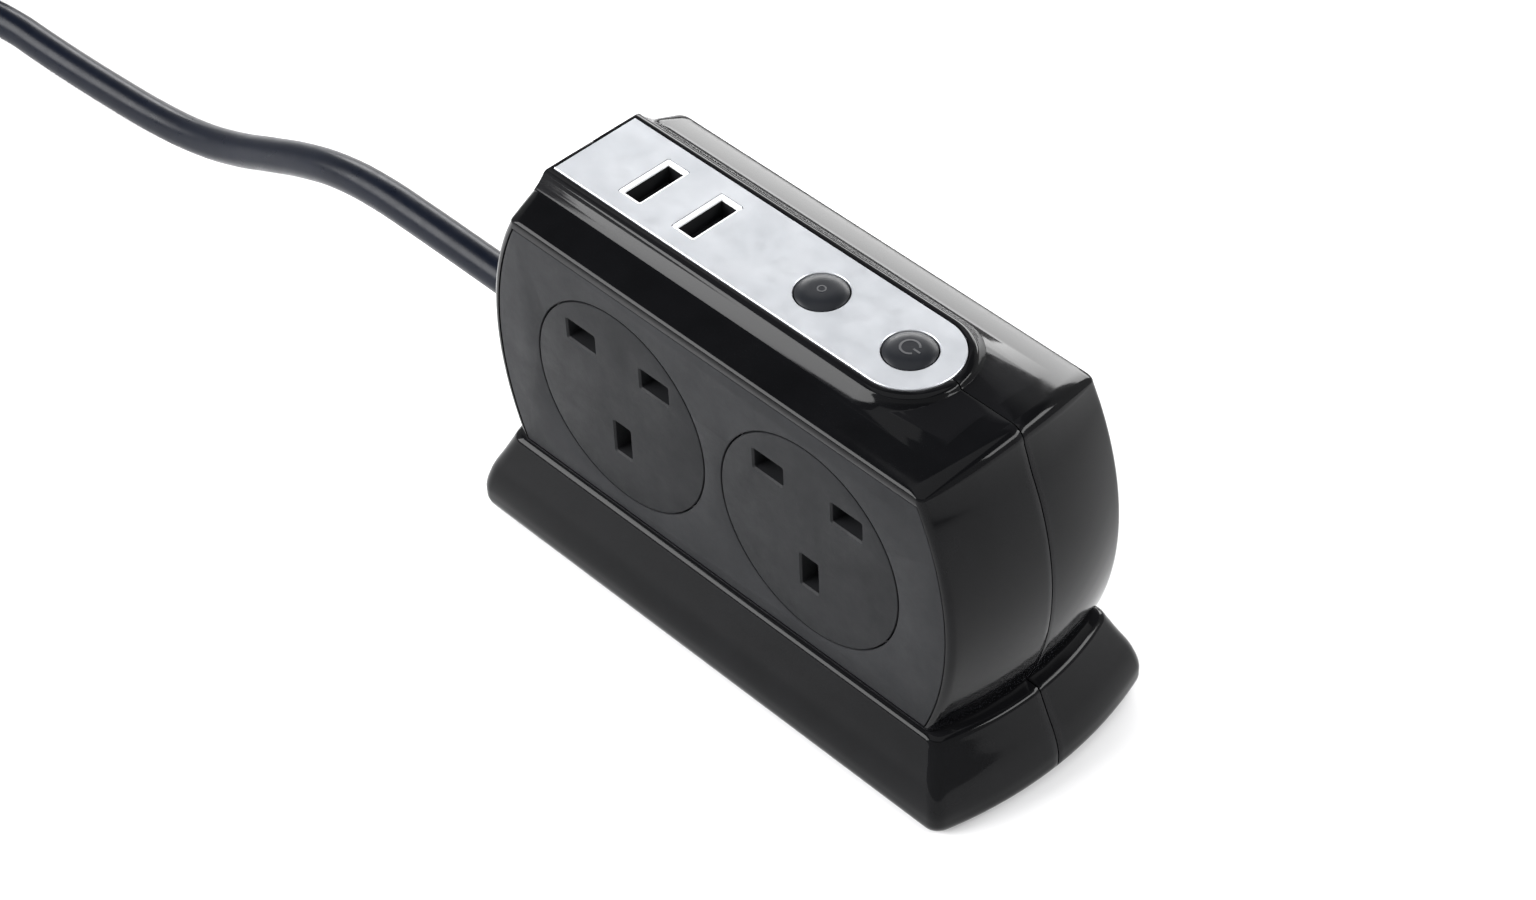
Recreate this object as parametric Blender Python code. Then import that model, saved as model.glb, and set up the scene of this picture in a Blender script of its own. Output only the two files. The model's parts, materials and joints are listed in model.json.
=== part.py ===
"""A free-standing block power strip: four BS 1363 outlets, two USB outlets, a switch and a supply cord.

Metres, +Z up. X runs along the strip, with the supply cord at the -X end, and the front outlets face -Y.
The origin is at the middle of the footprint, on the surface that the rubber feet stand on.
"""
import math

import bmesh
import bpy
from mathutils import Matrix, Vector

MM = 0.001

# ---- Driving dimensions ----
FIT = 0.3 * MM                     # clearance between pieces that touch
WALL = 2.2 * MM
SEAM_GAP = 0.3 * MM                # between the two half shells

# Casing
WAIST_HALF_LENGTH = 71.6 * MM      # middle of an end, at the waist
WAIST_RADIUS = 72.5 * MM           # barrel curve of the ends, seen from the front; their waist is widest
BODY_HALF_WIDTH = 24.4 * MM        # out to the face of the outlet panels
END_BULGE = 4.0 * MM               # how far the ends swell, seen from above
CORNER_RADIUS = 2.0 * MM
EDGE_HEIGHT = 85.4 * MM            # top edge along the two sides
WAIST_HEIGHT = EDGE_HEIGHT - 34.6 * MM
CROWN_HEIGHT = EDGE_HEIGHT + 4.4 * MM  # top of the casing along its middle line
SIDE_EDGE_RADIUS = 1.0 * MM
END_EDGE_RADIUS = 3.4 * MM

# Plinth
FOOT_STAND = 0.8 * MM              # how far the feet hold the plinth up
PLINTH_TOP = 21.7 * MM
PLINTH_END_LEDGE = 2.7 * MM        # beyond the body, at the middle of an end
PLINTH_SIDE_LEDGE = 0.3 * MM
PLINTH_BULGE = 5.0 * MM
PLINTH_CORNER = 3.5 * MM
PLINTH_FLARE = 6.4 * MM
PLINTH_CURVE = (                   # share of the plinth's height, and share of its flare there
    (0.0, 0.66), (0.057, 0.92), (0.153, 1.0), (0.306, 0.98), (0.507, 0.80), (0.708, 0.50), (0.890, 0.24),
    (1.0, 0.0),
)

# Outlet panels
PANEL_FOOT = PLINTH_TOP + 0.5 * MM
PANEL_TOP = EDGE_HEIGHT - 2.2 * MM
PANEL_DEPTH = 2.2 * MM
PANEL_RIM = 1.5 * MM               # casing left beside the panel
OUTLET_PITCH = 55.66 * MM
DISC_RADIUS = 25.4 * MM            # hole in the panel
DISC_HEIGHT = (PANEL_FOOT + PANEL_TOP) / 2 - 0.4 * MM
NECK_RADIUS = DISC_RADIUS - 2.6 * MM   # outlet face where it passes through the shell

# BS 1363 geometry
LINE_TO_NEUTRAL = 22.23 * MM
LINE_TO_EARTH = 22.23 * MM
LINE_HEIGHT = DISC_HEIGHT + 13.05 * MM
EARTH_HEIGHT = LINE_HEIGHT - LINE_TO_EARTH
FLAT_SLOT = (8.3 * MM, 5.0 * MM)   # live and neutral
EARTH_SLOT = (4.8 * MM, 8.4 * MM)
FLAT_PIN = (6.35 * MM, 4.0 * MM, 17.7 * MM)
EARTH_PIN = (4.0 * MM, 8.0 * MM, 22.7 * MM)

# Shutters
SHUTTER_THICKNESS = 1.4 * MM
SHUTTER_LAP = 0.9 * MM             # cover past the edge of a slot
SHUTTER_SHELF = (5.0 * MM, 3.2 * MM, 1.4 * MM)  # width, depth and thickness of the spring's shelf
SPRING_SEAT_HEIGHT = EDGE_HEIGHT - 2.0 * MM

# Contacts
METAL = 0.8 * MM
CARRIER_THICKNESS = 1.5 * MM
LEAF_LENGTH = 9.5 * MM
RAIL_GAP = 0.6 * MM                # from the carriers up to the live rail
BUSBAR_HALF_LENGTH = (OUTLET_PITCH + LINE_TO_NEUTRAL) / 2 + 4.0 * MM

# Island and top plate
ISLAND_FAR_END = WAIST_HALF_LENGTH - 11.4 * MM
ISLAND_NOSE = WAIST_HALF_LENGTH - 39.06 * MM    # centre of the round near end
PLATE_HALF_WIDTH = 11.35 * MM
PLATE_THICKNESS = 1.2 * MM
PLATE_TOP = CROWN_HEIGHT + 1.4 * MM
PLATE_FAR_END = ISLAND_FAR_END - 0.9 * MM
ISLAND_RIM_HALF_WIDTH = PLATE_HALF_WIDTH + 1.25 * MM
ISLAND_FOOT_HALF_WIDTH = ISLAND_RIM_HALF_WIDTH + 3.8 * MM

# USB outlets
USB_PLACES = (19.1 * MM - ISLAND_FAR_END, 35.1 * MM - ISLAND_FAR_END)
USB_MOUTH = (4.9 * MM, 12.5 * MM)
USB_RIM = 0.75 * MM                # bezel beyond the mouth
USB_DEPTH = 13.2 * MM
USB_TONGUE = (1.9 * MM, 10.8 * MM)
BOARD_THICKNESS = 1.6 * MM

# Lens and button
BUTTON_PLACE = ISLAND_NOSE + 0.11 * MM
LENS_PLACE = BUTTON_PLACE - 24.6 * MM
ROUND_HOLE_RADIUS = 5.92 * MM
DOME_RISE = 0.9 * MM
FLANGE_LIP = 1.1 * MM              # holds the lens and the button in from below
FLANGE_THICKNESS = 1.2 * MM
STEM = (1.6 * MM, 2.2 * MM)        # radius and length under the button
BUTTON_TRAVEL = 2.5 * MM

# Fasteners and feet
SCREW_PLACES = (                   # in from the middle of an end at that height, and height
    (21.72 * MM, PLINTH_TOP + 5.7 * MM), (12.2 * MM, EDGE_HEIGHT - 8.4 * MM),
)
PILLAR_RADIUS = 3.8 * MM
SCREW_RADIUS = 1.5 * MM
SCREW_HEAD = (2.9 * MM, 1.8 * MM)
SCREW_REACH = 9.4 * MM             # past the seam into the front pillar
FOOT_RADIUS = 4.5 * MM
FOOT_INSET = (12.2 * MM, 5.2 * MM) # in from the top edge of the plinth
FOOT_SUNK = 1.5 * MM

# Supply cord
CORD_DIAMETER = 8.4 * MM
CORD_HEIGHT = 32.4 * MM            # where it leaves the casing
RELIEF_LENGTH = 22.0 * MM
RELIEF_ROOT_RADIUS = CORD_DIAMETER / 2 + 3.2 * MM
RELIEF_NECK_RADIUS = CORD_DIAMETER / 2 + 1.4 * MM
CORD_ROUTE = (                     # mm past the relief, mm towards +Y, and share of the drop to the hank
    (0.0, 0.0, 0.0), (16.9, 0.0, 0.0), (31.9, 0.0, 0.004), (46.9, 0.0, 0.022), (60.9, -0.1, 0.100),
    (74.9, -0.2, 0.268), (88.9, -0.4, 0.491), (102.9, -0.6, 0.721), (117.9, -1.0, 0.900),
    (133.9, -1.6, 0.996), (150.9, -2.4, 1.030), (168.9, -3.4, 1.033), (180.9, -4.1, 1.019),
    (190.0, -4.6, 1.007), (202.0, -6.6, 1.0), (211.5, -10.3, 1.0),
)
HANK_SIDE = 8.2 * MM               # middle of the hank towards +Y
HANK_HALF_RUN = 42.0 * MM          # from the middle to where the folds begin
HANK_FOLD_RADIUS = 29.8 * MM       # between the two cords of a layer
HANK_LIFT = 1.3 * MM               # the tie passes under the hank
HANK_EDGE = 2.4 * MM
TIE_WIDTH = 12.0 * MM
TIE_THICKNESS = 0.8 * MM

# Plug
PLUG_GAP = 39.2 * MM               # from the end of the hank to the plug
PLUG_SIDE = -6.1 * MM              # middle of the plug towards +Y
PLUG_SIZE = (51.0 * MM, 50.0 * MM, 21.5 * MM)
PLUG_CORNER = 9.0 * MM
PLUG_DRAFT = (                     # mm the sides are drawn in, and share of the height where they are
    (7.0, 0.0), (4.6, 0.028), (3.0, 0.112), (1.2, 0.372), (0.0, 0.744), (0.0, 0.907), (0.6, 0.977),
    (1.4, 1.0),
)
PLUG_RELIEF_LENGTH = 18.6 * MM
PLUG_LINE_INSET = 15.0 * MM        # from the edge that the cord enters to the live and neutral pins
PLUG_ENTRY_HEIGHT = 11.0 * MM
PLUG_ROUTE = (                     # mm past the plug's relief, mm towards +Y, and mm above the entry
    (20.1, -5.4, 1.8), (14.3, -2.9, 1.1), (8.5, -1.1, 0.4), (4.4, -0.2, 0.1), (0.4, 0.0, 0.0),
)
FUSE = (3.15 * MM, 25.4 * MM)      # radius and length


# ---- Small helpers ----
def clearScene():
    for item in list(bpy.data.objects):
        bpy.data.objects.remove(item, do_unlink=True)
    for mesh in list(bpy.data.meshes):
        bpy.data.meshes.remove(mesh)


def material(name, colour, roughness, metallic=0.0):
    found = bpy.data.materials.get(name)
    if found:
        return found
    made = bpy.data.materials.new(name)
    made.use_nodes = True
    shader = made.node_tree.nodes["Principled BSDF"]
    shader.inputs["Base Color"].default_value = (*colour, 1.0)
    shader.inputs["Roughness"].default_value = roughness
    shader.inputs["Metallic"].default_value = metallic
    made.diffuse_color = (*colour, 1.0)
    return made


GLOSS_BLACK = ("gloss_black", (0.012, 0.012, 0.014), 0.12)
MATTE_BLACK = ("matte_black", (0.045, 0.045, 0.048), 0.55)
SILVER = ("satin_silver", (0.80, 0.82, 0.86), 0.35)
STEEL = ("plated_steel", (0.75, 0.75, 0.76), 0.25, 1.0)
BRASS = ("brass", (0.78, 0.57, 0.25), 0.3, 1.0)
SMOKE = ("smoked_dome", (0.05, 0.05, 0.055), 0.25)
DARK_PLASTIC = ("dark_plastic", (0.03, 0.03, 0.035), 0.5)
INNER_PLASTIC = ("inner_plastic", (0.55, 0.55, 0.52), 0.6)
BOARD = ("circuit_board", (0.03, 0.18, 0.07), 0.45)
CERAMIC = ("varistor_blue", (0.05, 0.12, 0.40), 0.4)
RUBBER = ("foot_rubber", (0.02, 0.02, 0.02), 0.85)
CORD_PVC = ("cord_pvc", (0.02, 0.024, 0.035), 0.4)
FUSE_WHITE = ("fuse_ceramic", (0.85, 0.84, 0.80), 0.4)
LAMP_GREEN = ("lamp_green", (0.15, 0.6, 0.2), 0.3)


def finish(mesh, name, look, smooth=True):
    """Turns a bmesh into a named object with its material."""
    bmesh.ops.remove_doubles(mesh, verts=mesh.verts, dist=1e-7)
    bmesh.ops.recalc_face_normals(mesh, faces=mesh.faces)
    data = bpy.data.meshes.new(name)
    mesh.to_mesh(data)
    mesh.free()
    made = bpy.data.objects.new(name, data)
    bpy.context.scene.collection.objects.link(made)
    data.materials.append(material(*look))
    if smooth:
        data.shade_smooth()
        data.set_sharp_from_angle(angle=math.radians(30))
    return made


def addBox(mesh, low, high):
    """Adds a closed box between two corners."""
    size = [b - a for a, b in zip(low, high)]
    middle = [(a + b) / 2 for a, b in zip(low, high)]
    place = Matrix.Translation(middle) @ Matrix.Diagonal((*size, 1.0))
    bmesh.ops.create_cube(mesh, size=1.0, matrix=place)


def addDisc(mesh, centre, radius, depth, axis="Z", sides=32):
    """Adds a closed cylinder whose middle is at centre."""
    turn = {"X": Matrix.Rotation(math.pi / 2, 4, "Y"), "Y": Matrix.Rotation(-math.pi / 2, 4, "X"),
            "Z": Matrix()}
    bmesh.ops.create_cone(mesh, cap_ends=True, segments=sides, radius1=radius, radius2=radius, depth=depth,
                          matrix=Matrix.Translation(centre) @ turn[axis])


def box(name, look, low, high):
    mesh = bmesh.new()
    addBox(mesh, low, high)
    return finish(mesh, name, look, smooth=False)


def disc(name, look, centre, radius, depth, axis="Z", sides=32):
    mesh = bmesh.new()
    addDisc(mesh, centre, radius, depth, axis, sides)
    return finish(mesh, name, look)


def combine(target, tool, how):
    """Joins a tool to the target or cuts it away, and removes the tool."""
    step = target.modifiers.new(how.lower(), "BOOLEAN")
    step.operation = how
    step.solver = "EXACT"
    step.object = tool
    graph = bpy.context.evaluated_depsgraph_get()
    result = bpy.data.meshes.new_from_object(target.evaluated_get(graph))
    target.modifiers.clear()
    target.data = result
    bpy.data.objects.remove(tool, do_unlink=True)
    return target


def cut(target, *tools):
    for tool in tools:
        combine(target, tool, "DIFFERENCE")
    return target


def join(target, *tools):
    for tool in tools:
        combine(target, tool, "UNION")
    return target


def copyOf(source, name):
    made = source.copy()
    made.data = source.data.copy()
    made.name = name
    bpy.context.scene.collection.objects.link(made)
    return made


def turned(name, look, profile, centre, axis="Z", sides=20):
    """A round piece from (radius, height) points, bottom to top; the ends close on the axis."""
    mesh = bmesh.new()
    rings = []
    for radius, height in profile:
        ring = []
        for i in range(sides):
            angle = 2 * math.pi * i / sides
            ring.append(mesh.verts.new((radius * math.cos(angle), radius * math.sin(angle), height)))
        rings.append(ring)
    for lower, upper in zip(rings, rings[1:]):
        for i in range(sides):
            j = (i + 1) % sides
            mesh.faces.new((lower[i], lower[j], upper[j], upper[i]))
    mesh.faces.new(rings[0][::-1])
    mesh.faces.new(rings[-1])
    turn = {"-X": Matrix.Rotation(-math.pi / 2, 4, "Y"), "Z": Matrix()}
    bmesh.ops.transform(mesh, matrix=Matrix.Translation(centre) @ turn[axis], verts=mesh.verts)
    return finish(mesh, name, look)


def coilSpring(name, look, centre, radius, wire, length, turns):
    """A round-wire spring standing along Z from the centre of its lower end."""
    mesh = bmesh.new()
    steps = int(turns * 9)
    sides = 4
    rings = []
    for i in range(steps + 1):
        share = i / steps
        angle = 2 * math.pi * turns * share
        out = Vector((math.cos(angle), math.sin(angle), 0))
        middle = Vector(centre) + out * radius + Vector((0, 0, wire + (length - 2 * wire) * share))
        ring = []
        for k in range(sides):
            around = 2 * math.pi * k / sides
            offset = out * math.cos(around) + Vector((0, 0, math.sin(around)))
            ring.append(mesh.verts.new(middle + wire * offset))
        rings.append(ring)
    for first, second in zip(rings, rings[1:]):
        for k in range(sides):
            m = (k + 1) % sides
            mesh.faces.new((first[k], first[m], second[m], second[k]))
    mesh.faces.new(rings[0])
    mesh.faces.new(rings[-1][::-1])
    return finish(mesh, name, look)


# ---- Casing shape ----
END_STEPS = 6
CORNER_STEPS = 2
CROWN_COLUMNS = 6
OUTLET_SIDES = 40


def waistLine(height):
    """Half length of the casing at a height, at the middle of an end."""
    rise = height - WAIST_HEIGHT
    return WAIST_HALF_LENGTH - WAIST_RADIUS + math.sqrt(WAIST_RADIUS**2 - rise**2)


RELIEF_SEAT = waistLine(CORD_HEIGHT) - 0.8 * MM
PLINTH_TOP_HALF_LENGTH = waistLine(PLINTH_TOP) + PLINTH_END_LEDGE
PLINTH_TOP_HALF_WIDTH = BODY_HALF_WIDTH + PLINTH_SIDE_LEDGE


def crown(y):
    """Height of the casing's top at a distance from its middle line."""
    return CROWN_HEIGHT - (CROWN_HEIGHT - EDGE_HEIGHT) * (y / BODY_HALF_WIDTH) ** 2


def endCurve(halfLength, halfWidth, bulge, corner):
    """Points round the +X end of a plan outline, from its front side to its back side."""
    radius = (halfWidth**2 + bulge**2) / (2 * bulge)
    centre = halfLength - radius
    limit = math.asin((halfWidth - corner) / (radius - corner))
    hub = (centre + (radius - corner) * math.cos(limit), halfWidth - corner)
    points = []
    for i in range(CORNER_STEPS + 1):
        angle = -math.pi / 2 + (math.pi / 2 - limit) * i / CORNER_STEPS
        points.append((hub[0] + corner * math.cos(angle), -hub[1] + corner * math.sin(angle)))
    for i in range(1, END_STEPS):
        angle = -limit + 2 * limit * i / END_STEPS
        points.append((centre + radius * math.cos(angle), radius * math.sin(angle)))
    for i in range(CORNER_STEPS + 1):
        angle = limit + (math.pi / 2 - limit) * i / CORNER_STEPS
        points.append((hub[0] + corner * math.cos(angle), hub[1] + corner * math.sin(angle)))
    return points


def planOutline(halfLength, halfWidth, bulge, corner):
    """A whole plan outline, anticlockwise from the front of the +X end."""
    near = endCurve(halfLength, halfWidth, bulge, corner)
    return near + [(-x, -y) for x, y in near]


def casingRings(inset, bodyHalfWidth, floor):
    """Outlines of the plinth and the body from the floor up, drawn in by a wall."""
    rings = []
    top = PLINTH_TOP - inset
    for rise, share in PLINTH_CURVE:
        level = floor + (top - floor) * rise
        out = PLINTH_FLARE * share - inset
        outline = planOutline(PLINTH_TOP_HALF_LENGTH + out, PLINTH_TOP_HALF_WIDTH + out, PLINTH_BULGE,
                              PLINTH_CORNER)
        rings.append([(x, y, level) for x, y in outline])
    bodyLevels = 8
    last = EDGE_HEIGHT - END_EDGE_RADIUS - 2.0 * MM
    for i in range(bodyLevels):
        level = top + (last - top) * i / (bodyLevels - 1)
        outline = planOutline(waistLine(level) - inset, bodyHalfWidth, END_BULGE, CORNER_RADIUS)
        rings.append([(x, y, level) for x, y in outline])
    for degrees in (0, 30, 60, 90):
        angle = math.radians(degrees)
        drawn = 1 - math.cos(angle)
        halfLength = waistLine(EDGE_HEIGHT - SIDE_EDGE_RADIUS) - inset - END_EDGE_RADIUS * drawn
        halfWidth = bodyHalfWidth - SIDE_EDGE_RADIUS * drawn
        ring = []
        for x, y in planOutline(halfLength, halfWidth, END_BULGE, CORNER_RADIUS):
            endShare = 1 - min(1, abs(y) / halfWidth) ** 4
            drop = SIDE_EDGE_RADIUS + (END_EDGE_RADIUS - SIDE_EDGE_RADIUS) * endShare
            ring.append((x, y, crown(y) - inset - drop * (1 - math.sin(angle))))
        rings.append(ring)
    return rings


def crownedSolid(name, look, rings, inset):
    """Lofts the rings, closes the bottom flat and fills the top along the crown."""
    mesh = bmesh.new()
    made = [[mesh.verts.new(point) for point in ring] for ring in rings]
    count = len(made[0])
    for lower, upper in zip(made, made[1:]):
        for i in range(count):
            j = (i + 1) % count
            mesh.faces.new((lower[i], lower[j], upper[j], upper[i]))
    mesh.faces.new(made[0][::-1])
    top = made[-1]
    half = count // 2
    tip = half // 2
    rows = [[top[tip]]]
    for i in reversed(range(tip)):
        rows.append((top[i], top[half - 1 - i]))
    for i in range(tip):
        rows.append((top[count - 1 - i], top[half + i]))
    rows.append([top[half + tip]])
    strips = []
    for row in rows:
        if len(row) == 1:
            strips.append([row[0]])
            continue
        front, back = row
        strip = [front]
        for k in range(1, CROWN_COLUMNS):
            y = front.co.y + (back.co.y - front.co.y) * k / CROWN_COLUMNS
            strip.append(mesh.verts.new((front.co.x, y, crown(y) - inset)))
        strip.append(back)
        strips.append(strip)
    for first, second in zip(strips, strips[1:]):
        for k in range(CROWN_COLUMNS):
            corners = [first[min(k, len(first) - 1)], first[min(k + 1, len(first) - 1)],
                       second[min(k + 1, len(second) - 1)], second[min(k, len(second) - 1)]]
            face = []
            for corner in corners:
                if corner not in face:
                    face.append(corner)
            mesh.faces.new(face)
    return finish(mesh, name, look)


def barrelPlate(name, look, foot, top, side, shrink):
    """The barrel outline of an outlet panel, extruded between two |y| on one side."""
    near, far = side
    levels = 10
    outline = []
    for i in range(levels + 1):
        height = foot + shrink + (top - foot - 2 * shrink) * i / levels
        outline.append((waistLine(height) - END_BULGE - PANEL_RIM - shrink, height))
    outline += [(-x, z) for x, z in reversed(outline)]
    mesh = bmesh.new()
    first = [mesh.verts.new((x, near, z)) for x, z in outline]
    second = [mesh.verts.new((x, far, z)) for x, z in outline]
    mesh.faces.new(first)
    mesh.faces.new(second[::-1])
    for i in range(len(outline)):
        j = (i + 1) % len(outline)
        mesh.faces.new((first[j], first[i], second[i], second[j]))
    return finish(mesh, name, look)


def stadium(halfWidth, farEnd, height, steps=14):
    """The island's outline: square at the far end, round at the nose."""
    points = [(-farEnd, -halfWidth, height)]
    for i in range(steps + 1):
        angle = -math.pi / 2 + math.pi * i / steps
        points.append((ISLAND_NOSE + halfWidth * math.cos(angle), halfWidth * math.sin(angle), height))
    points.append((-farEnd, halfWidth, height))
    return points


def stacked(name, look, rings):
    """Lofts flat outlines into a closed solid."""
    mesh = bmesh.new()
    made = [[mesh.verts.new(point) for point in ring] for ring in rings]
    for lower, upper in zip(made, made[1:]):
        for i in range(len(lower)):
            j = (i + 1) % len(lower)
            mesh.faces.new((lower[i], lower[j], upper[j], upper[i]))
    mesh.faces.new(made[0][::-1])
    mesh.faces.new(made[-1])
    return finish(mesh, name, look)


def island():
    """The raised bar on the casing that frames the top plate."""
    rim = PLATE_TOP - 0.2 * MM
    foot = crown(ISLAND_FOOT_HALF_WIDTH)
    spread = ISLAND_FOOT_HALF_WIDTH - ISLAND_RIM_HALF_WIDTH
    profile = ((1.0, foot - WALL / 2), (1.0, foot), (0.66, foot + 0.9 * MM), (0.38, rim - 1.2 * MM),
               (0.20, rim - 0.35 * MM), (0.0, rim))
    rings = []
    for share, height in profile:
        rings.append(stadium(ISLAND_RIM_HALF_WIDTH + spread * share, ISLAND_FAR_END, height))
    return stacked("island", GLOSS_BLACK, rings)


# ---- Where the outlets are ----
def outlets():
    """Name, side (-1 front, 1 rear) and centre x of each outlet."""
    found = []
    for side, face in ((-1, "front_"), (1, "rear_")):
        found.append((face + "left", side, side * OUTLET_PITCH / 2))
        found.append((face + "right", side, -side * OUTLET_PITCH / 2))
    return found


def outletSlots(side, centre):
    """Cutters for one outlet's three pin slots, from the middle plane out past the panel."""
    tools = []
    places = ((centre - LINE_TO_NEUTRAL / 2, LINE_HEIGHT, FLAT_SLOT),
              (centre + LINE_TO_NEUTRAL / 2, LINE_HEIGHT, FLAT_SLOT), (centre, EARTH_HEIGHT, EARTH_SLOT))
    y = sorted((0.0, side * (BODY_HALF_WIDTH + PANEL_DEPTH)))
    for x, z, (wide, tall) in places:
        tools.append(box("slot", DARK_PLASTIC, (x - wide / 2, y[0], z - tall / 2),
                         (x + wide / 2, y[1], z + tall / 2)))
    return tools


def screwPlaces():
    """The four case screws, as x and height."""
    return [(end * (waistLine(height) - inset), height) for inset, height in SCREW_PLACES for end in (-1, 1)]


def footPlaces():
    x = PLINTH_TOP_HALF_LENGTH - FOOT_INSET[0]
    y = PLINTH_TOP_HALF_WIDTH - FOOT_INSET[1]
    return ((-x, -y), (x, -y), (-x, y), (x, y))


# ---- Layers behind an outlet, as |y| ----
RECESS_FLOOR = BODY_HALF_WIDTH - PANEL_DEPTH - FIT
SHELL_INSIDE = RECESS_FLOOR - WALL
SHUTTER_FRONT = SHELL_INSIDE - FIT
SHUTTER_BACK = SHUTTER_FRONT - SHUTTER_THICKNESS
CARRIER_FRONT = SHUTTER_BACK - FIT
CARRIER_BACK = CARRIER_FRONT - CARRIER_THICKNESS
CONTACT_FRONT = CARRIER_BACK - 0.7 * MM
CONTACT_BACK = CONTACT_FRONT - LEAF_LENGTH

# ---- Levels behind an outlet ----
CARRIER_TOP = LINE_HEIGHT + 4.8 * MM
LIVE_RAIL = CARRIER_TOP + RAIL_GAP
SHUTTER_TOP = CARRIER_TOP + FIT + SHUTTER_SHELF[2]
SHUTTER_LOW = LINE_HEIGHT - FLAT_SLOT[1] / 2 - SHUTTER_LAP


def casing():
    """The two half shells, cut from one hollow casing along the seam."""
    whole = crownedSolid("casing", GLOSS_BLACK, casingRings(0.0, BODY_HALF_WIDTH, FOOT_STAND), 0.0)
    join(whole, island())
    cavity = crownedSolid("cavity", GLOSS_BLACK, casingRings(WALL, SHELL_INSIDE, FOOT_STAND + WALL), WALL)
    cut(whole, cavity)
    for x, z in screwPlaces():
        join(whole, disc("pillar", GLOSS_BLACK, (x, 0, z), PILLAR_RADIUS, 2 * SHELL_INSIDE + WALL, "Y", 14))
    seatHalf = SHUTTER_SHELF[0] / 2
    for label, side, centre in outlets():
        y = sorted((side * (SHELL_INSIDE + WALL / 2), side * (SHUTTER_BACK - 2 * MM)))
        join(whole, box("seat", GLOSS_BLACK, (centre - seatHalf, y[0], SPRING_SEAT_HEIGHT),
                        (centre + seatHalf, y[1], SPRING_SEAT_HEIGHT + WALL)))
        out = side * (BODY_HALF_WIDTH + 1 * MM)
        if centre < 0:
            layer = (side * RECESS_FLOOR, out)
            cut(whole, barrelPlate("recess", GLOSS_BLACK, PANEL_FOOT, PANEL_TOP, layer, 0.0))
        cut(whole, disc("window", GLOSS_BLACK, (centre, side * RECESS_FLOOR, DISC_HEIGHT), NECK_RADIUS + FIT,
                        3 * WALL, "Y", OUTLET_SIDES))
    cutScrewHoles(whole)
    cutTopWindows(whole)
    cutCordHoles(whole)
    for x, y in footPlaces():
        cut(whole, disc("foot_recess", GLOSS_BLACK, (x, y, FOOT_STAND), FOOT_RADIUS + FIT, 2 * FOOT_SUNK,
                        "Z", 16))
    front = whole
    rear = copyOf(whole, "rear_shell")
    front.name = "front_shell"
    big = 2 * WAIST_HALF_LENGTH
    cut(front, box("half", GLOSS_BLACK, (-big, -SEAM_GAP / 2, -big), (big, big, big)))
    cut(rear, box("half", GLOSS_BLACK, (-big, -big, -big), (big, SEAM_GAP / 2, big)))


def cutScrewHoles(whole):
    headStart = RECESS_FLOOR - SCREW_HEAD[1] - FIT
    shankEnd = -SCREW_REACH - 4.6 * MM
    for x, z in screwPlaces():
        cut(whole, disc("head", GLOSS_BLACK, (x, (headStart + BODY_HALF_WIDTH) / 2, z), SCREW_HEAD[0] + FIT,
                        BODY_HALF_WIDTH - headStart, "Y", 14))
        cut(whole, disc("shank", GLOSS_BLACK, (x, (headStart + shankEnd) / 2, z), SCREW_RADIUS + FIT,
                        headStart - shankEnd + 1 * MM, "Y", 10))


def cutTopWindows(whole):
    """Holes in the island for the plate, the USB sockets, the lens and the button."""
    plateFloor = PLATE_TOP - PLATE_THICKNESS - FIT
    levels = (plateFloor, PLATE_TOP + 1 * MM)
    recess = [stadium(PLATE_HALF_WIDTH + FIT, PLATE_FAR_END + FIT, height) for height in levels]
    cut(whole, stacked("plate_recess", GLOSS_BLACK, recess))
    wide, long = (size / 2 + USB_RIM + FIT for size in USB_MOUTH)
    for place in USB_PLACES:
        cut(whole, box("usb_window", GLOSS_BLACK, (place - wide, -long, plateFloor - 6 * MM),
                       (place + wide, long, PLATE_TOP)))
    for place in (LENS_PLACE, BUTTON_PLACE):
        cut(whole, disc("round_window", GLOSS_BLACK, (place, 0, plateFloor), ROUND_HOLE_RADIUS, 12 * MM,
                        "Z", 24))


def cutCordHoles(whole):
    """The hole in the end wall for the strain relief, and a flat seat on each side of it."""
    deep = 10 * MM
    innerSeat = RELIEF_SEAT - WALL - 0.7 * MM
    cut(whole, disc("cord_hole", GLOSS_BLACK, (-RELIEF_SEAT, 0, CORD_HEIGHT), RELIEF_NECK_RADIUS + FIT,
                    2 * deep, "X", 20))
    for x in (-RELIEF_SEAT - deep / 2, -innerSeat + deep / 2):
        cut(whole, disc("relief_seat", GLOSS_BLACK, (x, 0, CORD_HEIGHT), RELIEF_ROOT_RADIUS + FIT, deep,
                        "X", 20))


def panels():
    for name, side in (("front_panel", -1), ("rear_panel", 1)):
        inner = side * (BODY_HALF_WIDTH - PANEL_DEPTH)
        panel = barrelPlate(name, MATTE_BLACK, PANEL_FOOT, PANEL_TOP, (inner, side * BODY_HALF_WIDTH), FIT)
        for centre in (-OUTLET_PITCH / 2, OUTLET_PITCH / 2):
            cut(panel, disc("hole", MATTE_BLACK, (centre, side * BODY_HALF_WIDTH, DISC_HEIGHT), DISC_RADIUS,
                            4 * PANEL_DEPTH, "Y", OUTLET_SIDES))


def outletFaces():
    back = BODY_HALF_WIDTH - PANEL_DEPTH
    for label, side, centre in outlets():
        middle = side * (back + BODY_HALF_WIDTH) / 2
        face = disc("outlet_face_" + label, MATTE_BLACK, (centre, middle, DISC_HEIGHT), DISC_RADIUS - FIT,
                    PANEL_DEPTH, "Y", OUTLET_SIDES)
        lap = 1 * MM
        join(face, disc("neck", MATTE_BLACK, (centre, side * (SHELL_INSIDE + back + lap) / 2, DISC_HEIGHT),
                        NECK_RADIUS, back - SHELL_INSIDE + lap, "Y", OUTLET_SIDES))
        cut(face, *outletSlots(side, centre))


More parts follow.
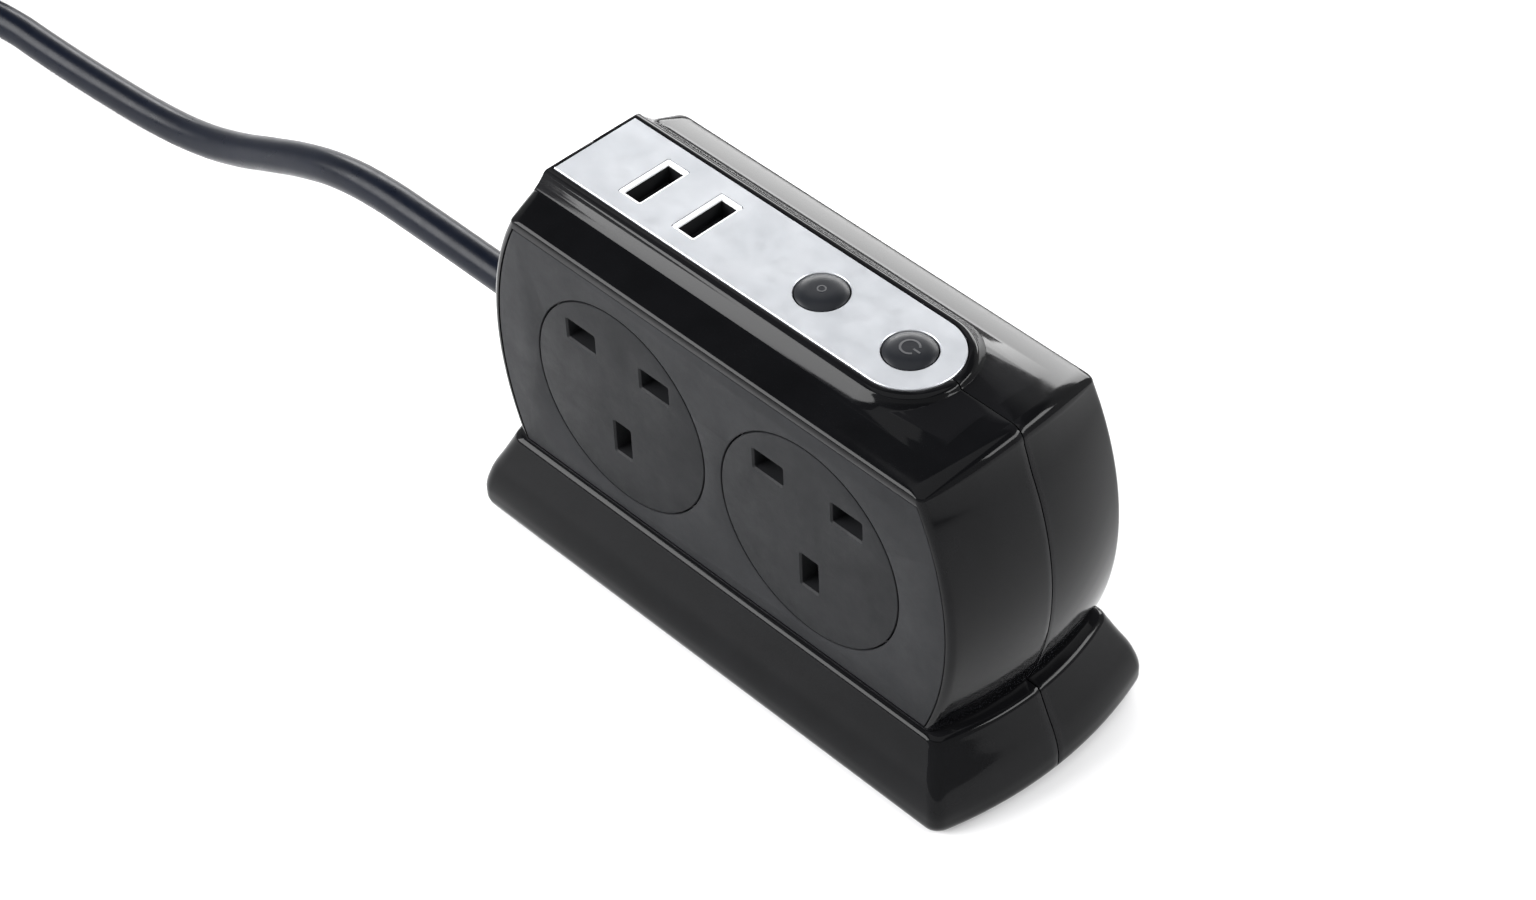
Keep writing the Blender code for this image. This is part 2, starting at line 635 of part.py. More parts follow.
def shutters():
    """One spring-loaded shutter behind each outlet; it slides up, away from the earth slot."""
    earthTop = EARTH_HEIGHT + EARTH_SLOT[1] / 2
    halfWidth = LINE_TO_NEUTRAL / 2 + FLAT_SLOT[0] / 2 + SHUTTER_LAP
    tongueHalf = EARTH_SLOT[0] / 2 + SHUTTER_LAP
    shelfHalf = SHUTTER_SHELF[0] / 2
    shelfBack = SHUTTER_FRONT - SHUTTER_SHELF[1]
    for label, side, centre in outlets():
        y = sorted((side * SHUTTER_FRONT, side * SHUTTER_BACK))
        plate = box("shutter_" + label, INNER_PLASTIC, (centre - halfWidth, y[0], SHUTTER_LOW),
                    (centre + halfWidth, y[1], CARRIER_TOP))
        tongue = box("tongue", INNER_PLASTIC, (centre - tongueHalf, y[0], earthTop - 1.5 * MM),
                     (centre + tongueHalf, y[1], SHUTTER_LOW + 1 * MM))
        neck = box("neck", INNER_PLASTIC, (centre - shelfHalf, y[0], CARRIER_TOP - 1 * MM),
                   (centre + shelfHalf, y[1], SHUTTER_TOP))
        y = sorted((side * SHUTTER_FRONT, side * shelfBack))
        shelf = box("shelf", INNER_PLASTIC, (centre - shelfHalf, y[0], CARRIER_TOP + FIT),
                    (centre + shelfHalf, y[1], SHUTTER_TOP))
        join(plate, tongue, neck, shelf)
        foot = (centre, side * (SHUTTER_FRONT + shelfBack) / 2, SHUTTER_TOP + 0.1 * MM)
        coilSpring("shutter_spring_" + label, STEEL, foot, 1.15 * MM, 0.2 * MM,
                   SPRING_SEAT_HEIGHT - SHUTTER_TOP - 0.2 * MM, 4)


def carriers():
    """The inner mouldings that hold the contacts, one behind each row of shutters."""
    low = EARTH_HEIGHT - EARTH_SLOT[1] / 2 - 3 * MM
    half = BUSBAR_HALF_LENGTH + 3 * MM
    for name, side in (("front_contact_carrier", -1), ("rear_contact_carrier", 1)):
        y = sorted((side * CARRIER_FRONT, side * CARRIER_BACK))
        plate = box(name, INNER_PLASTIC, (-half, y[0], low), (half, y[1], CARRIER_TOP))
        for centre in (-OUTLET_PITCH / 2, OUTLET_PITCH / 2):
            cut(plate, *outletSlots(side, centre))


def busbars():
    """Live, neutral and earth strips, each with a contact for every outlet."""
    neutralRail = LINE_HEIGHT - 5.6 * MM
    reach = CONTACT_BACK + 1 * MM
    live = box("live_busbar", BRASS, (-BUSBAR_HALF_LENGTH, -reach, LIVE_RAIL),
               (BUSBAR_HALF_LENGTH, reach, LIVE_RAIL + METAL))
    neutral = box("neutral_busbar", BRASS, (-BUSBAR_HALF_LENGTH, -reach, neutralRail),
                  (BUSBAR_HALF_LENGTH, reach, neutralRail + METAL))
    gap = FLAT_PIN[1] / 2 + FIT
    edge = gap + METAL
    for label, side, centre in outlets():
        liveX = centre + side * LINE_TO_NEUTRAL / 2
        neutralX = centre - side * LINE_TO_NEUTRAL / 2
        for strip, x, low, high in ((live, liveX, LINE_HEIGHT - edge, LIVE_RAIL + METAL / 2),
                                    (neutral, neutralX, neutralRail + METAL / 2, LINE_HEIGHT + edge)):
            y = sorted((side * CONTACT_BACK, side * (CONTACT_BACK + METAL)))
            join(strip, box("web", BRASS, (x - 2.6 * MM, y[0], low), (x + 2.6 * MM, y[1], high)))
            y = sorted((side * (CONTACT_BACK + METAL / 2), side * CONTACT_FRONT))
            for start in (-edge, gap):
                join(strip, box("leaf", BRASS, (x - 3 * MM, y[0], LINE_HEIGHT + start),
                                (x + 3 * MM, y[1], LINE_HEIGHT + start + METAL)))
    earthRail = EARTH_HEIGHT - EARTH_PIN[1] / 2 - 2.4 * MM
    earth = box("earth_busbar", BRASS, (-BUSBAR_HALF_LENGTH, -4 * MM, earthRail),
                (BUSBAR_HALF_LENGTH, 4 * MM, earthRail + METAL))
    gap = EARTH_PIN[0] / 2 + FIT
    edge = gap + METAL
    for centre in (-OUTLET_PITCH / 2, OUTLET_PITCH / 2):
        join(earth, box("web", BRASS, (centre - edge, -METAL / 2, earthRail + METAL / 2),
                        (centre + edge, METAL / 2, EARTH_HEIGHT + 4 * MM)))
        for start in (-edge, gap):
            join(earth, box("leaf", BRASS, (centre + start, -CONTACT_FRONT, EARTH_HEIGHT - 3.6 * MM),
                            (centre + start + METAL, CONTACT_FRONT, EARTH_HEIGHT + 3.6 * MM)))


def topPlate():
    rings = [stadium(PLATE_HALF_WIDTH, PLATE_FAR_END, PLATE_TOP - PLATE_THICKNESS),
             stadium(PLATE_HALF_WIDTH, PLATE_FAR_END, PLATE_TOP)]
    plate = stacked("top_plate", SILVER, rings)
    wide, long = (size / 2 + USB_RIM + FIT / 2 for size in USB_MOUTH)
    for place in USB_PLACES:
        cut(plate, box("hole", SILVER, (place - wide, -long, 0), (place + wide, long, 2 * PLATE_TOP)))
    for place in (LENS_PLACE, BUTTON_PLACE):
        cut(plate, disc("hole", SILVER, (place, 0, PLATE_TOP), ROUND_HOLE_RADIUS, 0.01, "Z", 24))


def usbOutlets(boardTop):
    """Two USB type A sockets standing on one board under the plate, with its transformer."""
    mouthWide, mouthLong = (size / 2 for size in USB_MOUTH)
    thick, broad = USB_TONGUE
    sleeve = 0.4 * MM
    for name, place in zip(("usb_socket_far", "usb_socket_near"), USB_PLACES):
        bezel = box(name, STEEL, (place - mouthWide - USB_RIM, -mouthLong - USB_RIM, PLATE_TOP - 1.6 * MM),
                    (place + mouthWide + USB_RIM, mouthLong + USB_RIM, PLATE_TOP))
        join(bezel, box("sleeve", STEEL, (place - mouthWide - sleeve, -mouthLong - sleeve, boardTop + FIT),
                        (place + mouthWide + sleeve, mouthLong + sleeve, PLATE_TOP - 1 * MM)))
        cut(bezel, box("mouth", STEEL, (place - mouthWide, -mouthLong, boardTop - 1 * MM),
                       (place + mouthWide, mouthLong, 2 * PLATE_TOP)))
        start = place - mouthWide + FIT
        tongue = box(name.replace("socket", "tongue"), DARK_PLASTIC, (start, -broad / 2, boardTop + FIT),
                     (start + thick, broad / 2, PLATE_TOP - 4.6 * MM))
        join(tongue, box("block", DARK_PLASTIC, (start, -mouthLong + FIT, boardTop + FIT),
                         (place + mouthWide - FIT, mouthLong - FIT, boardTop + 2.4 * MM)))
    boardHalf = PLATE_HALF_WIDTH - 0.85 * MM
    box("usb_board", BOARD, (USB_PLACES[0] - 6 * MM, -boardHalf, boardTop - BOARD_THICKNESS),
        (LENS_PLACE + 5 * MM, boardHalf, boardTop))
    coilStart = USB_PLACES[1] + 10.1 * MM
    box("usb_transformer", DARK_PLASTIC, (coilStart, -5.5 * MM, boardTop + FIT),
        (coilStart + 10.5 * MM, 5.5 * MM, boardTop + 8 * MM))


def switchAndLamp(boardTop):
    """The latching switch under its push button, and the surge lamp under its smoked lens."""
    radius = ROUND_HOLE_RADIUS - FIT
    lip = radius + FLANGE_LIP
    flange = crown(lip) - WALL - FIT
    flangeLow = flange - FLANGE_THICKNESS
    dome = ((0.98, 0.0), (0.86, 0.45), (0.62, 0.78), (0.32, 0.95), (0.1, 1.0))
    cap = [(lip, flangeLow), (lip, flange), (radius, flange), (radius, PLATE_TOP - 0.1 * MM)]
    cap += [(radius * out, PLATE_TOP + DOME_RISE * rise) for out, rise in dome]
    turned("surge_lens", SMOKE, cap, (LENS_PLACE, 0, 0))
    lampTop = flangeLow - FIT
    lamp = [(2.6 * MM, boardTop + FIT), (2.6 * MM, boardTop + 1 * MM), (2.2 * MM, boardTop + 1.2 * MM),
            (2.2 * MM, lampTop - 1.8 * MM), (1.6 * MM, lampTop - 0.6 * MM), (0.5 * MM, lampTop)]
    turned("surge_lamp", LAMP_GREEN, lamp, (LENS_PLACE, 0, 0))
    stemRadius, stemLength = STEM
    stem = [(stemRadius, flangeLow - stemLength), (stemRadius, flangeLow)]
    turned("power_button", SMOKE, stem + cap, (BUTTON_PLACE, 0, 0))
    low = LIVE_RAIL + METAL + FIT
    high = flangeLow - stemLength - BUTTON_TRAVEL - FIT
    box("switch_body", DARK_PLASTIC, (BUTTON_PLACE - 9 * MM, -7 * MM, low),
        (BUTTON_PLACE + 9 * MM, 7 * MM, high))
    coilSpring("button_spring", STEEL, (BUTTON_PLACE, 0, high + 0.1 * MM), 3.4 * MM, 0.3 * MM,
               flangeLow - high - 0.2 * MM, 3)


def surgeBoard():
    """The surge protection board in the plinth, with three varistors and a thermal fuse."""
    top = FOOT_STAND + WALL + 6 * MM
    box("surge_board", BOARD, (-34 * MM, -15 * MM, top - BOARD_THICKNESS), (34 * MM, 15 * MM, top))
    radius = 6 * MM
    for number, x in enumerate((-18 * MM, -4 * MM, 10 * MM), start=1):
        disc(f"varistor_{number}", CERAMIC, (x, 0, top + FIT + radius), radius, 4.2 * MM, "X", 18)
    fuseRadius = 2 * MM
    disc("thermal_fuse", STEEL, (24 * MM, 0, top + FIT + fuseRadius), fuseRadius, 11 * MM, "Y", 16)


def screwsAndFeet():
    headRadius, headHeight = SCREW_HEAD
    headBack = RECESS_FLOOR - headHeight
    for number, (x, z) in enumerate(screwPlaces(), start=1):
        head = disc(f"case_screw_{number}", STEEL, (x, RECESS_FLOOR - headHeight / 2, z), headRadius,
                    headHeight, "Y", 20)
        start = headBack + 0.5 * MM
        join(head, disc("shank", STEEL, (x, (start - SCREW_REACH) / 2, z), SCREW_RADIUS, start + SCREW_REACH,
                        "Y", 12))
        cut(head, box("slot", STEEL, (x - 2 * MM, RECESS_FLOOR - 0.8 * MM, z - 0.4 * MM),
                      (x + 2 * MM, RECESS_FLOOR + 1 * MM, z + 0.4 * MM)))
    for number, (x, y) in enumerate(footPlaces(), start=1):
        height = FOOT_STAND + FOOT_SUNK - FIT
        profile = [(FOOT_RADIUS - 0.4 * MM, 0), (FOOT_RADIUS, 0.4 * MM), (FOOT_RADIUS, height)]
        turned(f"rubber_foot_{number}", RUBBER, profile, (x, y, 0), sides=16)


# ---- Supply cord ----
RELIEF_TIP = RELIEF_SEAT + FIT + RELIEF_LENGTH     # distance from the middle of the strip
HANK_LOW = HANK_LIFT + CORD_DIAMETER / 2           # centre of the cords in the lower layer
HANK_HIGH = HANK_LIFT + 2 * CORD_DIAMETER
HANK_INNER = HANK_FOLD_RADIUS - CORD_DIAMETER
HANK_OUTER = HANK_FOLD_RADIUS + CORD_DIAMETER


def cordEntry():
    """Strain relief through the end wall, the cord's tail inside, and the clamp that grips it."""
    inside = RELIEF_SEAT - WALL - FIT - 1.0 * MM
    flange = 2.4 * MM
    end = RELIEF_SEAT + FIT
    root = RELIEF_ROOT_RADIUS
    neck = RELIEF_NECK_RADIUS
    profile = [(root, inside - flange), (root, inside), (neck, inside), (neck, end), (root, end),
               (root, end + 2 * MM), (root - 0.8 * MM, end + 2.6 * MM)]
    ribs = 3
    for i in range(ribs):
        start = end + 5.0 * MM + i * 5 * MM
        radius = root - 0.9 * MM - i * 0.3 * MM
        groove = radius - 0.8 * MM
        profile += [(radius, start), (groove, start + 0.7 * MM), (groove, start + 1.9 * MM)]
    profile.append((CORD_DIAMETER / 2 + 0.5 * MM, RELIEF_TIP))
    turned("cord_strain_relief", RUBBER, profile, (0, 0, CORD_HEIGHT), "-X", 16)
    tail = 12 * MM
    tailX = -(inside - flange - FIT - tail / 2)
    disc("cord_tail", CORD_PVC, (tailX, 0, CORD_HEIGHT), CORD_DIAMETER / 2, tail, "X", 20)
    long = 3.5 * MM
    wide = CORD_DIAMETER / 2 + 4.8 * MM
    clamp = box("cord_clamp", INNER_PLASTIC, (tailX - long, -wide, CORD_HEIGHT),
                (tailX + long, wide, CORD_HEIGHT + CORD_DIAMETER / 2 + 2.3 * MM))
    cut(clamp, disc("groove", INNER_PLASTIC, (tailX, 0, CORD_HEIGHT), CORD_DIAMETER / 2 + FIT / 2, 20 * MM,
                    "X", 24))


def smoothLine(points, spacing):
    """Points at an even spacing along a smooth curve through the given points."""
    line = [Vector(point) for point in points]
    line = [2 * line[0] - line[1]] + line + [2 * line[-1] - line[-2]]
    fine = []
    for p0, p1, p2, p3 in zip(line, line[1:], line[2:], line[3:]):
        for i in range(20):
            t = i / 20
            fine.append(0.5 * (2 * p1 + (p2 - p0) * t + (2 * p0 - 5 * p1 + 4 * p2 - p3) * t**2
                               + (3 * p1 - p0 - 3 * p2 + p3) * t**3))
    fine.append(line[-2])
    lengths = [0.0]
    for first, second in zip(fine, fine[1:]):
        lengths.append(lengths[-1] + (second - first).length)
    count = max(2, round(lengths[-1] / spacing))
    made = []
    k = 0
    for i in range(count):
        wanted = lengths[-1] * i / count
        while lengths[k + 1] < wanted:
            k += 1
        share = (wanted - lengths[k]) / (lengths[k + 1] - lengths[k])
        made.append(fine[k].lerp(fine[k + 1], share))
    return made + [fine[-1]]


def cordTube(name, route, spacing):
    """A round cord along a smooth route."""
    curve = bpy.data.curves.new(name, "CURVE")
    curve.dimensions = "3D"
    curve.bevel_depth = CORD_DIAMETER / 2
    curve.bevel_resolution = 3
    curve.use_fill_caps = True
    points = smoothLine(route, spacing)
    spline = curve.splines.new("POLY")
    spline.points.add(len(points) - 1)
    for place, point in zip(spline.points, points):
        place.co = (*point, 1.0)
    made = bpy.data.objects.new(name, curve)
    bpy.context.scene.collection.objects.link(made)
    curve.materials.append(material(*CORD_PVC))


def supplyCord():
    """The cord from the strain relief down to the hank; returns where it ends."""
    route = []
    for past, side, drop in CORD_ROUTE:
        height = CORD_HEIGHT + (HANK_LOW - CORD_HEIGHT) * drop
        route.append((-RELIEF_TIP - FIT - past * MM, side * MM, height))
    cordTube("supply_cord", route, 2 * CORD_DIAMETER)
    return route[-1]


def cordHank(cordEnd):
    """The spare length, folded into a hank two cords wide and two high; returns its middle x."""
    clear = HANK_OUTER + CORD_DIAMETER / 2 + FIT
    nearHub = cordEnd[0] - math.sqrt(clear**2 - (HANK_SIDE - cordEnd[1]) ** 2)
    middle = nearHub - HANK_HALF_RUN
    section = ((HANK_INNER + HANK_EDGE, HANK_LIFT), (HANK_OUTER - HANK_EDGE, HANK_LIFT),
               (HANK_OUTER, HANK_LIFT + HANK_EDGE), (HANK_OUTER, HANK_HIGH - HANK_EDGE),
               (HANK_OUTER - HANK_EDGE, HANK_HIGH), (HANK_INNER + HANK_EDGE, HANK_HIGH),
               (HANK_INNER, HANK_HIGH - HANK_EDGE), (HANK_INNER, HANK_LIFT + HANK_EDGE))
    foldSteps = 14
    mesh = bmesh.new()
    rings = []
    for hub, start in ((nearHub, -90), (middle - HANK_HALF_RUN, 90)):
        for i in range(foldSteps + 1):
            angle = math.radians(start + 180 * i / foldSteps)
            ring = []
            for radius, height in section:
                point = (hub + radius * math.cos(angle), HANK_SIDE + radius * math.sin(angle), height)
                ring.append(mesh.verts.new(point))
            rings.append(ring)
    for first, second in zip(rings, rings[1:] + rings[:1]):
        for k in range(len(section)):
            m = (k + 1) % len(section)
            mesh.faces.new((first[k], second[k], second[m], first[m]))
    finish(mesh, "cord_hank", CORD_PVC)
    return middle


def hankTie(middle):
    """A flat tie round one side of the hank."""
    half = TIE_WIDTH / 2
    low = (middle - half, HANK_SIDE - HANK_OUTER - FIT, HANK_LIFT - FIT)
    high = (middle + half, HANK_SIDE - HANK_INNER + FIT, HANK_HIGH + FIT)
    band = Vector((0, TIE_THICKNESS, TIE_THICKNESS))
    tie = box("hank_tie", DARK_PLASTIC, Vector(low) - band, Vector(high) + band)
    past = Vector((half, 0, 0))
    cut(tie, box("hole", DARK_PLASTIC, Vector(low) - past, Vector(high) + past))


def roundedBlock(name, look, rings):
    """Lofts rounded rectangles given as (x low, x high, half width, corner, height)."""
    mesh = bmesh.new()
    made = []
    for low, high, half, corner, height in rings:
        ring = []
        corners = ((high, half, 0), (low, half, 90), (low, -half, 180), (high, -half, 270))
        for cornerX, cornerY, start in corners:
            hubX = cornerX - math.copysign(corner, cornerX - (low + high) / 2)
            hubY = cornerY - math.copysign(corner, cornerY)
            for i in range(5):
                angle = math.radians(start + 90 * i / 4)
                point = (hubX + corner * math.cos(angle), hubY + corner * math.sin(angle), height)
                ring.append(mesh.verts.new(point))
        made.append(ring)
    for lower, upper in zip(made, made[1:]):
        for i in range(len(lower)):
            j = (i + 1) % len(lower)
            mesh.faces.new((lower[i], lower[j], upper[j], upper[i]))
    mesh.faces.new(made[0][::-1])
    mesh.faces.new(made[-1])
    return finish(mesh, name, look)


def plugLead(edge):
    """The last of the cord, from the hank to the plug's strain relief."""
    route = []
    tip = edge + PLUG_RELIEF_LENGTH
    for past, side, rise in PLUG_ROUTE:
        route.append((tip + past * MM, PLUG_SIDE + side * MM, PLUG_ENTRY_HEIGHT + rise * MM))
    cordTube("plug_lead", route, CORD_DIAMETER / 2)


def plug(edge):
    """A moulded BS 1363 plug lying on its back with its pins up, and its fuse."""
    long, wide, tall = PLUG_SIZE
    rings = []
    for drawn, share in PLUG_DRAFT:
        rings.append((drawn * MM, long - drawn * MM, wide / 2 - drawn * MM, PLUG_CORNER, tall * share))
    body = roundedBlock("plug_body", DARK_PLASTIC, rings)
    pieces = [body]
    above = tall + 1 * MM
    earthX = PLUG_LINE_INSET + LINE_TO_EARTH
    flatLong, flatThick, flatOut = FLAT_PIN
    earthThick, earthLong, earthOut = EARTH_PIN
    pins = (("plug_live_pin", PLUG_LINE_INSET, LINE_TO_NEUTRAL / 2, flatThick, flatLong, flatOut),
            ("plug_neutral_pin", PLUG_LINE_INSET, -LINE_TO_NEUTRAL / 2, flatThick, flatLong, flatOut),
            ("plug_earth_pin", earthX, 0, earthLong, earthThick, earthOut))
    foot = tall - 7 * MM
    for name, x, y, thick, broad, out in pins:
        holeX = (thick + FIT) / 2
        holeY = (broad + FIT) / 2
        cut(body, box("hole", DARK_PLASTIC, (x - holeX, y - holeY, foot - FIT),
                      (x + holeX, y + holeY, above)))
        tip = tall + out
        rings = []
        for drawn, height in ((0.0, foot), (0.0, tip - 1.4 * MM), (1.0 * MM, tip)):
            halfX = thick / 2 - drawn
            halfY = broad / 2 - drawn
            rings.append([(x + signX * halfX, y + signY * halfY, height)
                          for signX, signY in ((-1, -1), (1, -1), (1, 1), (-1, 1))])
        pieces.append(stacked(name, BRASS, rings))
    fuseRadius, fuseLength = FUSE
    pocketEnd = earthX - EARTH_PIN[1] / 2 - 2.2 * MM
    pocketStart = pocketEnd - fuseLength - 2.2 * MM
    carrierHalf = fuseRadius + 1.4 * MM
    deep = tall - 10.5 * MM
    cut(body, box("pocket", DARK_PLASTIC, (pocketStart, -carrierHalf - FIT, deep),
                  (pocketEnd, carrierHalf + FIT, above)))
    fuseX = (pocketStart + pocketEnd) / 2
    fuseZ = deep + FIT + fuseRadius
    pieces.append(disc("plug_fuse", FUSE_WHITE, (fuseX, 0, fuseZ), fuseRadius, fuseLength, "X", 16))
    carrier = box("plug_fuse_carrier", DARK_PLASTIC, (pocketStart + FIT, -carrierHalf, fuseZ - 1.0 * MM),
                  (pocketEnd - FIT, carrierHalf, tall))
    groove = disc("groove", DARK_PLASTIC, (fuseX, 0, fuseZ), fuseRadius + FIT, fuseLength + 4 * MM, "X", 16)
    pieces.append(cut(carrier, groove))
    root = CORD_DIAMETER / 2 + 2.6 * MM
    profile = [(root, 0), (root, 1.6 * MM)]
    ribs = 3
    for i in range(ribs):
        start = (3.0 + 4.6 * i) * MM
        radius = root - (0.6 + 0.45 * i) * MM
        groove = radius - 0.7 * MM
        profile += [(radius, start), (groove, start + 0.7 * MM), (groove, start + 2.0 * MM)]
    profile.append((CORD_DIAMETER / 2 + 0.5 * MM, PLUG_RELIEF_LENGTH - FIT))
    pieces.append(turned("plug_strain_relief", RUBBER, profile, (-FIT, 0, PLUG_ENTRY_HEIGHT), "-X", 16))
    place = Matrix.Translation((edge, PLUG_SIDE, 0)) @ Matrix.Rotation(math.pi, 4, "Z")
    for piece in pieces:
        piece.data.transform(place)


clearScene()
casing()
panels()
outletFaces()
shutters()
carriers()
busbars()
topPlate()
usbOutlets(PLATE_TOP - USB_DEPTH)
switchAndLamp(PLATE_TOP - USB_DEPTH)
surgeBoard()
screwsAndFeet()
cordEntry()
cordEnd = supplyCord()
hankMiddle = cordHank(cordEnd)
hankTie(hankMiddle)
plugEdge = hankMiddle - HANK_HALF_RUN - HANK_OUTER - PLUG_GAP
plugLead(plugEdge)
plug(plugEdge)
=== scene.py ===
import json
import math

import bmesh
import bpy
from mathutils import Matrix, Vector


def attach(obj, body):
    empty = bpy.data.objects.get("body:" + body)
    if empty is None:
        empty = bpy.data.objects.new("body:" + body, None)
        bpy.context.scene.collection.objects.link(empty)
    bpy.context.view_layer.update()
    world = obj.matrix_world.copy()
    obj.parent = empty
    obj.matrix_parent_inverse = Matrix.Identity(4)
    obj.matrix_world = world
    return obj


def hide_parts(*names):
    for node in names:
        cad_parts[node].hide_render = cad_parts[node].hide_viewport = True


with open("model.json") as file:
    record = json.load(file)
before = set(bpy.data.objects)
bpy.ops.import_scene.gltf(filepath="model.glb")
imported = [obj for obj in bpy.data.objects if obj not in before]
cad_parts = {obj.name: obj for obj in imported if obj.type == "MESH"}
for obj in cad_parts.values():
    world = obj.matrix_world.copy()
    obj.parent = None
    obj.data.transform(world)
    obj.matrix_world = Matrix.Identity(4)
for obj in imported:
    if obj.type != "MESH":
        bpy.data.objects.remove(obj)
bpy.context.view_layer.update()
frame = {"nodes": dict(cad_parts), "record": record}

mm = 0.001
fit = 0.3  # mm, the play between pieces that fit into each other
bodyOf = {}  # which moving body each solid belongs to
for bodyName, nodeNames in frame["record"]["behaviour"]["bodies"].items():
    for nodeName in nodeNames:
        bodyOf[nodeName] = bodyName


# camera first: same angle and framing every time
view = dict(target=(-9.82 * mm, 0, 35.8 * mm), azimuth=47.82, elevation=43.73, roll=-2.44, distance=816.25 * mm,
            lens=90.8)


def makeCamera():
    azimuth, elevation, roll = (math.radians(view[key]) for key in ("azimuth", "elevation", "roll"))
    back = Vector((math.sin(azimuth) * math.cos(elevation), -math.cos(azimuth) * math.cos(elevation),
                   math.sin(elevation)))
    right = Vector((math.cos(azimuth), math.sin(azimuth), 0))
    up = back.cross(right)
    tiltedRight = right * math.cos(roll) + up * math.sin(roll)
    tiltedUp = up * math.cos(roll) - right * math.sin(roll)
    data = bpy.data.cameras.new("viewCamera")
    data.lens = view["lens"]
    data.sensor_width = 36
    data.clip_start = 0.01
    camera = bpy.data.objects.new("viewCamera", data)
    bpy.context.scene.collection.objects.link(camera)
    turn = Matrix((tiltedRight, tiltedUp, back)).transposed().to_4x4()
    camera.matrix_world = Matrix.Translation(Vector(view["target"]) + back * view["distance"]) @ turn
    bpy.context.scene.camera = camera


makeCamera()
print("camera set")


# material helpers
def startMaterial(name):
    made = bpy.data.materials.new(name)
    made.use_nodes = True
    tree = made.node_tree
    shader = tree.nodes["Principled BSDF"]
    place = tree.nodes.new("ShaderNodeTexCoord")
    return made, tree, shader, place.outputs["Object"]


def addNoise(tree, where, scale, detail=3.0, rough=0.5, stretch=None):
    if stretch:
        mapping = tree.nodes.new("ShaderNodeMapping")
        mapping.inputs["Scale"].default_value = stretch
        tree.links.new(where, mapping.inputs["Vector"])
        where = mapping.outputs["Vector"]
    noise = tree.nodes.new("ShaderNodeTexNoise")
    noise.inputs["Scale"].default_value = scale
    noise.inputs["Detail"].default_value = detail
    noise.inputs["Roughness"].default_value = rough
    tree.links.new(where, noise.inputs["Vector"])
    return noise.outputs["Fac"]


def spread(tree, value, low, high, start=0.3, end=0.7):
    step = tree.nodes.new("ShaderNodeMapRange")
    step.inputs["From Min"].default_value = start
    step.inputs["From Max"].default_value = end
    step.inputs["To Min"].default_value = low
    step.inputs["To Max"].default_value = high
    tree.links.new(value, step.inputs["Value"])
    return step.outputs["Result"]


def blendColours(tree, value, first, second):
    ramp = tree.nodes.new("ShaderNodeValToRGB")
    ramp.color_ramp.elements[0].position = 0.3
    ramp.color_ramp.elements[1].position = 0.7
    ramp.color_ramp.elements[0].color = (*first, 1)
    ramp.color_ramp.elements[1].color = (*second, 1)
    tree.links.new(value, ramp.inputs["Fac"])
    return ramp.outputs["Color"]


def wornEdges(tree, colour, worn, strength):
    # lightens the corners that hands and tables rub
    shape = tree.nodes.new("ShaderNodeNewGeometry")
    amount = spread(tree, shape.outputs["Pointiness"], 0.0, strength, 0.54, 0.64)
    mix = tree.nodes.new("ShaderNodeMix")
    mix.data_type = "RGBA"
    mix.inputs["B"].default_value = (*worn, 1)
    tree.links.new(amount, mix.inputs["Factor"])
    tree.links.new(colour, mix.inputs["A"])
    return mix.outputs["Result"]


def addBump(tree, shader, value, strength, depth):
    bump = tree.nodes.new("ShaderNodeBump")
    bump.inputs["Strength"].default_value = strength
    bump.inputs["Distance"].default_value = depth
    tree.links.new(value, bump.inputs["Height"])
    tree.links.new(bump.outputs["Normal"], shader.inputs["Normal"])
    return bump


def makeFinish(name, colour, second, roughness, grain, bump, metallic=0.0, wear=None, stretch=None, cloud=90,
               depth=0.05 * mm, extras=None):
    made, tree, shader, where = startMaterial(name)
    clouds = addNoise(tree, where, cloud, 4)
    tint = blendColours(tree, clouds, colour, second)
    if wear:
        tint = wornEdges(tree, tint, wear[0], wear[1])
    tree.links.new(tint, shader.inputs["Base Color"])
    fine = addNoise(tree, where, grain, 2, 0.6, stretch)
    mixed = addNoise(tree, where, cloud * 3, 5, 0.65, stretch)
    tree.links.new(spread(tree, mixed, roughness[0], roughness[1]), shader.inputs["Roughness"])
    addBump(tree, shader, fine, bump, depth)
    shader.inputs["Metallic"].default_value = metallic
    for socket, value in (extras or {}).items():
        shader.inputs[socket].default_value = value
    return made


